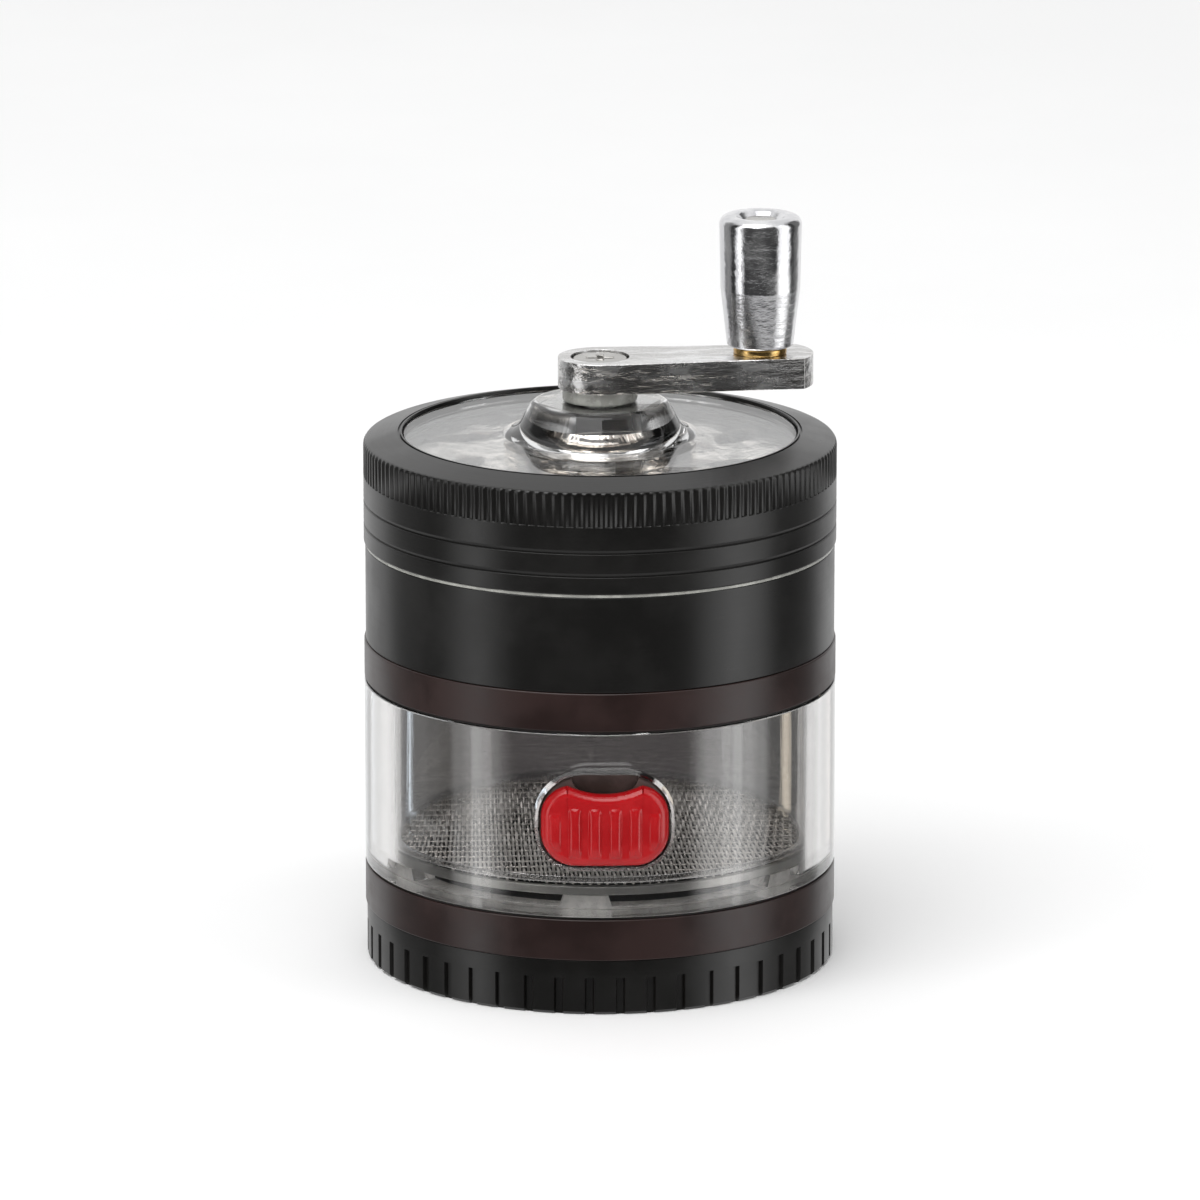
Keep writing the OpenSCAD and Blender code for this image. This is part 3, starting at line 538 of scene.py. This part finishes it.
def addTube(s):
    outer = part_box("collector_tube")[1].x
    foot, top = (corner.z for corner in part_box("collector_tube"))
    bore, edge = outer - s["wall"] * mm, s["edge"] * mm
    ledge, shelf = bore - s["ledgeW"] * mm, foot + s["ledgeH"] * mm
    lugTop, halfStep = shelf + s["lugH"] * mm, 180 / s["steps"]
    bm = spinOutline([
        (ledge, foot + hair, edge), (outer, foot + hair, edge), (outer, top - hair, edge),
        (bore, top - hair, edge), (bore, lugTop, 0), (bore, shelf, 0), (ledge, shelf, 0)], s["steps"])
    raised = []
    for v in bm.verts:
        r, angle = math.hypot(v.co.x, v.co.y), math.degrees(math.atan2(v.co.y, v.co.x))
        halfPitch = 180 / s["lugs"]
        fromLug = (angle - s["firstLug"] + halfPitch) % (2 * halfPitch) - halfPitch
        if abs(v.co.z - shelf) < hair and r < bore + hair and abs(fromLug) < s["lugHalf"] + halfStep:
            raised.append(v)
    bmesh.ops.translate(bm, verts=raised, vec=(0, 0, s["lugH"] * mm))
    bmesh.ops.remove_doubles(bm, verts=bm.verts, dist=merging)
    bm = cutHole(bm, s, foot + s["holeZ"] * mm, bore, outer)
    bm.normal_update()
    for f in bm.faces:  # the ledge and its lugs are frosted, but not the lugs' sides
        place = f.calc_center_median()
        inside = place.xy.length < bore - hair and place.z < lugTop + hair
        lugSide = abs(f.normal.xy.cross(place.xy.normalized())) >= 0.7
        f.material_index = int(inside and not lugSide)
    makePiece("collectorTube", bm, "collector_tube", sharp=30).data.materials.append(frostedAcrylic)


addTube(tubeSet)
print("tube made")

# chamber body: neck, outside wall, collar and the seat of the lower plate
chamberSet = {"neckR": 27.95, "neckWall": 2.0, "neckH": 4.3, "neckEdge": 0.3, "wallH": 12.9, "wallEdge": 0.2,
              "collarR": 28.9, "collarWall": 1.9, "collarEdge": 0.4, "boreEdge": 0.3,
              "seatH": 2.0, "seatEdge": 0.1, "steps": 264}


def addChamber(s):
    inner, outer, foot, top = ringSize("chamber_body")
    neck, bore, collar = s["neckR"] * mm, (s["neckR"] - s["neckWall"]) * mm, s["collarR"] * mm
    wall, wallTop = foot + s["neckH"] * mm, foot + (s["neckH"] + s["wallH"]) * mm
    inside, seat = collar - s["collarWall"] * mm, wall + s["seatH"] * mm
    neckEdge, wallEdge = s["neckEdge"] * mm, s["wallEdge"] * mm
    outline = [(bore, foot, neckEdge), (neck, foot, neckEdge), (neck, wall, 0),
               (outer, wall, wallEdge), (outer, wallTop, wallEdge), (collar, wallTop, 0),
               (collar, top, s["collarEdge"] * mm), (inside, top, s["boreEdge"] * mm),
               (inside, seat, 0), (bore, seat, s["seatEdge"] * mm)]
    makePiece("chamberBody", spinOutline(outline, s["steps"]), "chamber_body")


addChamber(chamberSet)

# lid ring: knurled edge, sloped rim with a fine groove round its lip, two turned lines
lidSet = {"knurls": 156, "columns": 4, "cut": (1, 2), "deep": 0.22, "knurlFoot": 5.7, "knurlEnd": 0.1,
          "skirtR": 29.1, "skirtEdge": 0.2, "shoulder": 0.5, "rimFall": 1.2, "seatR": 28.5, "seatH": 3.45,
          "lines": (2.5, 5.6), "lineUp": 0.35, "lineDown": 0.22, "lineDeep": 0.2, "lineEdge": 0.04,
          "groove": (26.6, 26.9), "grooveDeep": 0.35, "grooveDrop": 0.05,
          "lipR": 26.35, "lipT": 1.6, "lipEdge": 0.06}


def addLid(s):
    inner, outer, foot, top = ringSize("lid_ring")
    size = {key: s[key] * mm for key in s if not isinstance(s[key], tuple)}
    skirt, lip, seat = size["skirtR"], size["lipR"], size["seatR"]
    knurlFoot, under, grooveFoot = (top - size[key] for key in ("knurlFoot", "lipT", "grooveDeep"))
    seatTop = under - size["seatH"]
    grooveIn, grooveOut = (r * mm for r in s["groove"])
    outline = [(skirt, foot, size["skirtEdge"]), (outer, foot, size["skirtEdge"])]
    for line in s["lines"]:
        middle = foot + line * mm
        outline += [(outer, middle - size["lineDown"], size["lineEdge"]),
                    (outer - size["lineDeep"], middle - size["lineDown"] / 2, 0),
                    (outer, middle + size["lineUp"], size["lineEdge"])]
    outline += [(outer, knurlFoot - size["knurlEnd"], 0), (outer, knurlFoot, 0),
                (outer, top - size["rimFall"], size["shoulder"]), (grooveOut, top - size["grooveDrop"], 0),
                (grooveOut, grooveFoot, 0), (grooveIn, grooveFoot, 0), (grooveIn, top, 0),
                (lip, top, size["lipEdge"]), (lip, under, 0), (seat, under, 0), (seat, seatTop, 0),
                (skirt, seatTop, 0)]
    bm = spinOutline(outline, s["knurls"] * s["columns"])
    cutGrooves(bm, s["knurls"], s, outer, knurlFoot - size["knurlEnd"] / 2, top)
    makePiece("lidRing", bm, "lid_ring", sharp=32)


addLid(lidSet)
print("chamber and lid made")

# window with its flange and conical boss, hollow for the bearing
windowShape = {"flangeR": 28.4, "flangeTop": 69.9, "faceR": 26.2, "faceTop": 71.4, "faceEdge": 0.2,
               "bossFoot": 11.4, "bossTop": 9.0, "filletFoot": 1.7, "filletTop": 0.7, "pocketGap": 0.05,
               "shaftR": 3.1, "recessR": 8.3, "steps": 192, "boreSteps": 96, "roundSteps": 5}


def addWindow(s):
    foot, top = (corner.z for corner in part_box("lid_window"))
    bearingFoot, bearingTop = (corner.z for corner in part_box("hex_bearing"))
    corner = max((v.co for v in frame["nodes"]["hex_bearing"].data.vertices), key=lambda p: p.xy.length)
    pocket, pocketTop = corner.xy.length + s["pocketGap"] * mm, bearingTop + hair
    turned = Matrix.Rotation(fullTurn / 4 + math.atan2(corner.y, corner.x), 4, "Z")
    flange, flangeTop = s["flangeR"] * mm - hair, s["flangeTop"] * mm - hair
    face, faceTop = s["faceR"] * mm, s["faceTop"] * mm
    bm = spinOutline([
        (0, foot + hair, 0), (flange, foot + hair, 0), (flange, flangeTop, 0), (face, flangeTop, 0),
        (face, faceTop, s["faceEdge"] * mm), (s["bossFoot"] * mm, faceTop, s["filletFoot"] * mm),
        (s["bossTop"] * mm, top, s["filletTop"] * mm), (0, top, 0)], s["steps"], segments=s["roundSteps"])
    below = foot - mm
    hollows = ((6, pocket, pocketTop), (s["boreSteps"], s["recessR"] * mm, bearingFoot),
               (s["boreSteps"], s["shaftR"] * mm, top + mm))
    for sides, r, end in hollows:
        hollow = bmesh.new()
        bmesh.ops.create_cone(hollow, cap_ends=True, segments=sides, radius1=r, radius2=r, depth=end - below,
                              matrix=Matrix.Translation((0, 0, (end + below) / 2)) @ turned)
        bm = carve(bm, hollow)
    bm.normal_update()
    for f in bm.faces:  # the hexagonal pocket's walls are milled, not polished, and tinted dark brown as painted shade
        place = f.calc_center_median()
        inPocket = 2 * s["shaftR"] * mm < place.xy.length < pocket and bearingFoot < place.z < pocketTop
        f.material_index = int(inPocket and abs(f.normal.z) < 0.5)
    makePiece("lidWindow", bm, "lid_window", sharp=35).data.materials.append(milledShadedAcrylic)


addWindow(windowShape)
print("window made")

# milled and turned inner pieces: the merged CAD shape with broken edges, in mm
milledSet = {
    "lowerToothPlate": ("lower_tooth_plate", 0.15), "upperToothPlate": ("upper_tooth_plate", 0.35),
    "centreMagnet": ("centre_magnet", 0.2), "hexBearing": ("hex_bearing", 0.2),
    "spindle": ("spindle", 0.12), "rotorScrew": ("rotor_screw", 0.12),
    "crankScrew": ("crank_screw", 0.15), "crankArm": ("crank_arm", 0.4),
}
flatAngle = 0.5  # faces that meet at less than this, in degrees, become one
neckSet = {"r": 8.0, "topR": 6.2, "taperH": 2.4, "slack": 0.1}


# slopes the top of the hub's neck under the bearing
def taperNeck(bm, s):
    top, neckR = max(v.co.z for v in bm.verts), s["r"] * mm
    upright = [f for f in bm.faces if abs(f.normal.z) < 0.1]
    wall = [f for f in upright if all(abs(v.co.xy.length - neckR) < hair for v in f.verts)]
    around = list({piece for f in wall for piece in (*f.verts, *f.edges)})
    bmesh.ops.bisect_plane(bm, geom=wall + around, plane_co=(0, 0, top - s["taperH"] * mm),
                           plane_no=(0, 0, 1), dist=flush)
    rim = [v for v in bm.verts if v.co.z > top - hair and v.co.xy.length > (s["r"] - s["slack"]) * mm]
    narrower = s["topR"] / s["r"]
    bmesh.ops.scale(bm, verts=rim, vec=(narrower, narrower, 1))


for name, (node, edge) in milledSet.items():
    bm = bmesh.new()
    bm.from_mesh(frame["nodes"][node].data)
    bmesh.ops.remove_doubles(bm, verts=bm.verts, dist=merging)
    bmesh.ops.dissolve_limit(bm, angle_limit=math.radians(flatAngle), verts=bm.verts, edges=bm.edges)
    if node == "upper_tooth_plate":
        taperNeck(bm, neckSet)
    for f in bm.faces:  # the bearing's ground top is bright
        f.material_index = int(node == "hex_bearing" and f.normal.z > 0.9)
    makePiece(name, bm, node, edge=edge).data.materials.append(finishes["bare_steel"])
print("milled pieces made:", len(milledSet))

# knob, its brass bush and its pin, about the knob's own axis
knobSet = {"footR": 4.4, "footEdge": 0.35, "midR": 5.3, "crease": 0.12, "topR": 5.5, "taperH": 7.8,
           "topRound": 1.2, "dishR": 3.3, "dishEdge": 0.3, "dishFloorR": 2.4, "dishDeep": 1.1,
           "dishRound": 0.2, "boreR": 2.65, "boreH": 8.15, "pinBoreR": 1.8,
           "collarR": 3.55, "collarH": 0.9, "collarFoot": 0.15, "collarEdge": 0.2, "bushR": 2.6,
           "bushH": 9.05, "bushEdge": 0.1,
           "pinR": 1.75, "pinEdge": 0.15, "headR": 2.1, "headH": 0.5, "headFoot": 0.05, "headEdge": 0.3}
knobSteps = 132


def addKnob(s):
    low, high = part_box("knob")
    centre = ((low.x + high.x) / 2, (low.y + high.y) / 2)
    foot, top = low.z, high.z
    r = {key: value * mm for key, value in s.items()}
    dishFloor, boreTop = top - r["dishDeep"], foot + r["boreH"]
    makePiece("knob", spinOutline([
        (r["boreR"], foot, 0), (r["footR"], foot, r["footEdge"]),
        (r["midR"], foot + r["taperH"], r["crease"]),
        (r["topR"], top, r["topRound"]), (r["dishR"], top, r["dishEdge"]),
        (r["dishFloorR"], dishFloor, r["dishRound"]), (r["pinBoreR"], dishFloor, 0),
        (r["pinBoreR"], boreTop, 0), (r["boreR"], boreTop, 0)], knobSteps, centre), "knob")
    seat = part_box("knob_bush")[0].z
    collarTop, bushTop = seat + r["collarH"], seat + r["bushH"]
    makePiece("knobBush", spinOutline([
        (r["pinBoreR"], seat, 0), (r["collarR"], seat, r["collarFoot"]),
        (r["collarR"], collarTop, r["collarEdge"]),
        (r["bushR"], collarTop, 0), (r["bushR"], bushTop, r["bushEdge"]), (r["pinBoreR"], bushTop, 0)],
        knobSteps, centre), "knob_bush")
    pinFoot, pinTop = (corner.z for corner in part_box("knob_pin"))
    headFoot = pinTop - r["headH"]
    makePiece("knobPin", spinOutline([
        (0, pinFoot, 0), (r["pinR"], pinFoot, r["pinEdge"]), (r["pinR"], headFoot, 0),
        (r["headR"], headFoot, r["headFoot"]), (r["headR"], pinTop, r["headEdge"]), (0, pinTop, 0)],
        knobSteps, centre), "knob_pin")


addKnob(knobSet)
print("knob made")

# stopper and its red ribbed grip: oblongs bent round the tube
gripSet = {"width": 16.8, "height": 10.7, "corners": (4.3, 4.3), "edge": 1.2, "edgeSteps": 6, "faceR": 32.8,
           "notchW": 10.0, "notchDeep": 1.1, "notchSlices": 24, "ribs": 6, "pitch": 2.65, "ribHigh": 0.52,
           "endHigh": 0.34, "ribHalf": 0.8, "ribH": 6.7, "endRibH": 4.8, "ribDrop": 0.7, "ribEnd": 1.6,
           "slice": 0.13, "slices": 58, "layer": 0.2, "layers": (-5.0, 4.8)}
stopperSet = {"width": 17.3, "height": 12.3, "corners": (4.55, 6.15), "edge": 0.5, "edgeSteps": 3,
              "slice": 0.75, "sliced": 8.25, "pocketW": 9.0, "pocketH": 6.0, "pocketUp": 1.6,
              "pocketBack": 29.5}


def roundFront(bm, frontR, s):
    inFront = [e for e in bm.edges if all(abs(v.co.y + frontR) < flush for v in e.verts)]
    rim = [e for e in inFront if any(abs(f.normal.y) < 0.5 for f in e.link_faces)]
    bmesh.ops.bevel(bm, geom=rim, offset=s["edge"] * mm, offset_type="OFFSET", segments=s["edgeSteps"],
                    profile=0.5, affect="EDGES", material=-1)


# how far a rib stands out at a place on the grip's face, in mm
def ribLift(s, x, z):
    last = (s["ribs"] - 1) / 2
    rib = max(-last, min(last, round(x / s["pitch"] - 0.5) + 0.5))
    side = min(1.0, abs(x - rib * s["pitch"]) / s["ribHalf"])
    tall, high = (s["endRibH"], s["endHigh"]) if abs(rib) == last else (s["ribH"], s["ribHigh"])
    end = max(0.0, min(1.0, (tall / 2 - abs(z + s["ribDrop"])) / s["ribEnd"]))
    return high * math.sqrt(1 - side ** 2) * math.sqrt(1 - (1 - end) ** 2)


def addGrip(s, back):
    middle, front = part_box("stopper_grip")[0].z + s["height"] * mm / 2, s["faceR"] * mm
    bm = oblong(s["width"] * mm, s["height"] * mm, [r * mm for r in s["corners"]], middle, back, front)
    reach, notchFoot = s["notchW"] * mm / 2, middle + s["height"] * mm / 2 - s["notchDeep"] * mm
    radius = (s["notchW"] ** 2 / 4 + s["notchDeep"] ** 2) / (2 * s["notchDeep"]) * mm
    sliceShape(bm, 0, -reach, reach, s["notchW"] * mm / s["notchSlices"])
    for v in bm.verts:
        if abs(v.co.x) < reach and v.co.z > middle:
            v.co.z = min(v.co.z, notchFoot + radius - math.sqrt(radius ** 2 - v.co.x ** 2))
    roundFront(bm, front, s)
    step, (low, high) = s["slice"] * mm, s["layers"]
    sliceShape(bm, 0, -step * s["slices"], step * s["slices"], step)
    sliceShape(bm, 2, middle + low * mm, middle + high * mm, s["layer"] * mm)
    for v in bm.verts:
        if abs(v.co.y + front) < flush:
            v.co.y -= ribLift(s, v.co.x / mm, (v.co.z - middle) / mm) * mm
    bendRound(bm)
    bmesh.ops.recalc_face_normals(bm, faces=bm.faces)
    makePiece("stopperGrip", bm, "stopper_grip", sharp=60)


def addStopper(s, low, high):
    innerR, front, sliced = ringSize("pour_stopper")[0], -low.y - hair, s["sliced"] * mm
    bm = oblong(s["width"] * mm, s["height"] * mm, [r * mm for r in s["corners"]], (low.z + high.z) / 2,
                innerR, front)
    roundFront(bm, front, s)
    sliceShape(bm, 0, -sliced, sliced, s["slice"] * mm)
    bendRound(bm)
    bmesh.ops.recalc_face_normals(bm, faces=bm.faces)
    pocketR = s["pocketH"] * mm / 2
    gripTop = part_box("stopper_grip")[0].z + gripSet["height"] * mm
    pocket = oblong(s["pocketW"] * mm, 2 * pocketR, (pocketR, pocketR), gripTop + s["pocketUp"] * mm,
                    s["pocketBack"] * mm, gripSet["faceR"] * mm)
    makePiece("pourStopper", carve(bm, pocket), "pour_stopper", sharp=40)


stopperLow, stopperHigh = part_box("pour_stopper")
addGrip(gripSet, -stopperLow.y)
addStopper(stopperSet, stopperLow, stopperHigh)
print("stopper made")

# woven sieve: wavy wires side by side over straight ones, every second wire half a wave on, trimmed round
sieveSet = {"pitch": 0.54, "bend": 2.6, "parts": 4, "wire": 0.19, "wave": 0.2, "coreWire": 0.13,
            "trim": 0.75, "lift": 0.1, "turn": 2.0}


# one wavy wire along Y and its neighbour, copied side by side
def weaveWires(bm, s, bends, wires):
    pitch, bend = s["pitch"] * mm, s["bend"] * mm
    bmesh.ops.create_circle(bm, cap_ends=True, radius=s["wire"] * mm, segments=4)
    bmesh.ops.rotate(bm, verts=bm.verts, matrix=Matrix.Rotation(fullTurn / 4, 3, "X"))
    bmesh.ops.translate(bm, verts=bm.verts, vec=(-wires * pitch, -bends * bend, 0))
    end = bm.faces[:]
    for part in range(2 * bends * s["parts"]):
        made = bmesh.ops.extrude_face_region(bm, geom=end)["geom"]
        end = [piece for piece in made if isinstance(piece, bmesh.types.BMFace)]
        bmesh.ops.translate(bm, verts=end[0].verts, vec=(0, bend / s["parts"], 0))
    for v in bm.verts:
        along = round((v.co.y + bends * bend) / (bend / s["parts"])) / s["parts"]
        v.co.z += s["wave"] * mm * math.cos(math.pi * along)
    copied = bmesh.ops.duplicate(bm, geom=bm.verts[:] + bm.edges[:] + bm.faces[:])["geom"]
    second = [piece for piece in copied if isinstance(piece, bmesh.types.BMVert)]
    bmesh.ops.scale(bm, verts=second, vec=(1, 1, -1))
    bmesh.ops.translate(bm, verts=second, vec=(pitch, 0, 0))
    bmesh.ops.spin(bm, geom=bm.verts[:] + bm.edges[:] + bm.faces[:], cent=(0, 0, 0), axis=(0, 0, 1),
                   dvec=(2 * pitch, 0, 0), angle=0, steps=wires, use_merge=False, use_duplicate=True)


def addSieve(s):
    inner, outer, foot, top = ringSize("sieve_mesh")
    bend, reach, core = s["bend"] * mm, outer - s["trim"] * mm, s["coreWire"] * mm
    bends = 2 * int(reach / bend / 2) + 2
    bm = bmesh.new()
    weaveWires(bm, s, bends, 2 * int(reach / (s["pitch"] * mm) / 2) + 2)
    outside = [f for f in bm.faces if f.calc_center_median().xy.length > reach]
    bmesh.ops.delete(bm, geom=outside, context="FACES")
    bmesh.ops.holes_fill(bm, edges=[e for e in bm.edges if e.is_boundary], sides=4)
    for row in range(1 - bends, bends):
        if abs(row * bend) < reach:
            along = Matrix.Translation((0, row * bend, 0)) @ Matrix.Rotation(fullTurn / 4, 4, "Y")
            bmesh.ops.create_cone(bm, cap_ends=True, segments=6, radius1=core, radius2=core,
                                  depth=2 * math.sqrt(reach ** 2 - (row * bend) ** 2), matrix=along)
    bmesh.ops.rotate(bm, verts=bm.verts, matrix=Matrix.Rotation(math.radians(s["turn"]), 3, "Z"))
    bmesh.ops.translate(bm, verts=bm.verts, vec=(0, 0, (foot + top) / 2 + s["lift"] * mm))
    bmesh.ops.recalc_face_normals(bm, faces=bm.faces)
    makePiece("sieveMesh", bm, "sieve_mesh", sharp=180)


addSieve(sieveSet)
print("sieve made")

# pale floor and soft studio light: two soft boxes with a hot strip, a pale wall behind, a bright ceiling
# and a dim table front; "round" holds (degrees from the front, tone), the lamps (power, size, place)
studioSet = {
    "floor": 4.0, "floorTone": (0.93, 0.93, 0.93), "floorMarks": 3.0, "floorLift": 1.02, "gain": 3.0,
    "round": [(-180, 0.95), (-130, 0.95), (-122, 0.28), (-97, 0.26), (-93, 0.05), (-80, 0.05), (-76, 1.0),
              (-67, 1.1), (-66, 2.6), (-62, 2.6), (-61, 1.0), (-54, 0.8), (-49, 0.06), (0, 0.07), (47, 0.06),
              (52, 1.3), (66, 1.6), (67, 2.8), (72, 2.8), (73, 1.6), (86, 1.4), (91, 0.05), (104, 0.05),
              (112, 0.15), (124, 0.2), (136, 0.10), (143, 0.95), (180, 0.95)],
    "ceiling": 0.95, "ceilingFrom": (0.58, 0.82), "table": 0.60, "tableFrom": (-0.34, -0.46),
    "lowBack": 0.90, "lowTurn": (126, 137), "lowFrom": (-0.08, -0.14),
    "lamps": {"key": (11.5, (1.2, 1.2), (-0.35, -0.6, 1.3)), "fill": (7.5, (2.4, 0.5), (-0.3, -1.25, 0.22))},
}
# painted shade and painted highlights seen through the tube: a dim, glowing curved card close behind it, seen
# only through clear parts, with a cool and a warm painted highlight strip at its ends: (x in mm, colour)
shadeCardSet = {
    "r": 33.5, "foot": 1.0, "top": 38.5, "fall": 0.235, "tubeR": 31.5, "ends": (13, 167), "steps": 44,
    "gain": 2.0,
    "tones": [(-33.5, (0.14, 0.14, 0.15)), (-31.3, (0.14, 0.14, 0.15)), (-31.1, (1.6, 1.8, 2.0)),
              (-30.6, (1.6, 1.8, 2.0)), (-30.3, (0.14, 0.14, 0.14)), (-24, (0.14, 0.137, 0.134)),
              (-12, (0.078, 0.072, 0.074)), (12, (0.078, 0.072, 0.074)), (24, (0.13, 0.13, 0.13)),
              (29.6, (0.13, 0.13, 0.13)), (29.9, (1.1, 1.0, 0.85)), (31.1, (1.1, 1.0, 0.85)),
              (31.4, (0.13, 0.13, 0.13)), (33.5, (0.13, 0.13, 0.13))],
}


def mixTone(tree, mask, low, high):
    mix = addNode(tree, "ShaderNodeMix", data_type="RGBA")
    tree.links.new(mask, mix.inputs[0])
    tree.links.new(low, mix.inputs[6])
    mix.inputs[7].default_value = (high, high, high, 1)
    return mix.outputs[2]


def stagePiece(name, bm, finish):
    mesh = bpy.data.meshes.new(name)
    bm.to_mesh(mesh)
    bm.free()
    mesh.materials.append(finish)
    piece = bpy.data.objects.new(name, mesh)
    scene.collection.objects.link(piece)
    return piece


# a ramp of (place from 0 to 1, colour) over a value from low to high
def addRamp(tree, value, low, high, stops):
    limits = {"Value": value, "From Min": low, "From Max": high}
    ramp = addNode(tree, "ShaderNodeValToRGB", {0: addNode(tree, "ShaderNodeMapRange", limits).outputs[0]})
    elements = ramp.color_ramp.elements
    while len(elements) < len(stops):
        elements.new(0.5)
    for element, (position, colour) in zip(elements, stops):
        element.position, element.color = position, (*colour, 1)
    return ramp.outputs[0]


def addShadeCard(s):
    bm = bmesh.new()
    reach, topZ = s["r"] * mm, s["top"] * mm
    first, last = (math.radians(turn) for turn in s["ends"])
    across, back = reach * math.cos(first), reach * math.sin(first)
    ends = [bm.verts.new((across, back, z)) for z in (s["foot"] * mm, topZ)]
    bmesh.ops.spin(bm, geom=ends + [bm.edges.new(ends)], cent=(0, 0, 0), axis=(0, 0, 1), dvec=(0, 0, 0),
                   angle=last - first, steps=s["steps"])
    for v in bm.verts:  # its top edge follows the straight view down through the tube's top
        if v.co.z > topZ / 2:
            v.co.z -= s["fall"] * (v.co.y + math.sqrt(max(0, (s["tubeR"] * mm) ** 2 - v.co.x ** 2)))
    # the card is no lamp: its glow paints the shade behind the tube and two highlight strips
    finish, tree, shader = newFinish("painted_shade_card", Base_Color=(0, 0, 0, 1), Specular_IOR_Level=0.0,
                                     Emission_Strength=s["gain"])
    axes = addNode(tree, "ShaderNodeSeparateXYZ",
                   {0: addNode(tree, "ShaderNodeTexCoord").outputs["Object"]}).outputs
    stops = [((x / s["r"] + 1) / 2, [level / s["gain"] for level in colour]) for x, colour in s["tones"]]
    tree.links.new(addRamp(tree, axes[0], -reach, reach, stops), shader.inputs["Emission Color"])
    card = stagePiece("paintedShadeCard", bm, finish)
    card.visible_camera = card.visible_diffuse = card.visible_glossy = card.visible_shadow = False


# mirrors and clear parts don't see the floor, but the studio's own tones below the horizon
def addFloor(s):
    finish, tree, shader = newFinish("pale_floor", Roughness=0.9, Specular_IOR_Level=0.1)
    tone, marks = s["floorTone"], useGroup(tree, smudges, Scale=s["floorMarks"])
    tree.links.new(tint(tree, marks, tone, [c * s["floorLift"] for c in tone]), shader.inputs["Base Color"])
    bm = bmesh.new()
    bmesh.ops.create_grid(bm, x_segments=8, y_segments=8, size=s["floor"] / 2)
    floor = stagePiece("floor", bm, finish)
    floor.visible_glossy = floor.visible_transmission = False


def addWorld(s):
    world = bpy.data.worlds.new("studio")
    world.use_nodes = True
    scene.world = world
    tree = world.node_tree
    axes = addNode(tree, "ShaderNodeSeparateXYZ",
                   {0: addNode(tree, "ShaderNodeTexCoord").outputs["Generated"]}).outputs
    angle = mathNode(tree, "ARCTAN2", axes[0], mathNode(tree, "MULTIPLY", axes[1], -1.0))
    stops = [((turn + 180) / 360, [level / s["gain"]] * 3) for turn, level in s["round"]]
    sky = addRamp(tree, angle, -math.pi, math.pi, stops)
    sky = mixTone(tree, fade(tree, axes[2], *s["ceilingFrom"]), sky, s["ceiling"] / s["gain"])
    behind = fade(tree, mathNode(tree, "ABSOLUTE", angle), *(math.radians(turn) for turn in s["lowTurn"]))
    low = mathNode(tree, "MULTIPLY", behind, fade(tree, axes[2], *s["lowFrom"]))
    sky = mixTone(tree, low, sky, s["lowBack"] / s["gain"])
    sky = mixTone(tree, fade(tree, axes[2], *s["tableFrom"]), sky, s["table"] / s["gain"])
    tree.links.new(sky, tree.nodes["Background"].inputs["Color"])
    tree.nodes["Background"].inputs["Strength"].default_value = s["gain"]


def addLamps(s):
    for name, (power, size, place) in s["lamps"].items():
        light = bpy.data.lights.new(name, "AREA")
        light.shape, light.energy = "RECTANGLE", power
        light.size, light.size_y = size
        lamp = bpy.data.objects.new(name, light)
        lamp.location = place
        lamp.rotation_euler = Vector(place).to_track_quat("Z", "Y").to_euler()
        lamp.visible_glossy = name == "key"  # the fill only lights matt faces
        scene.collection.objects.link(lamp)


addFloor(studioSet)
addWorld(studioSet)
addLamps(studioSet)
addShadeCard(shadeCardSet)
print("studio made")
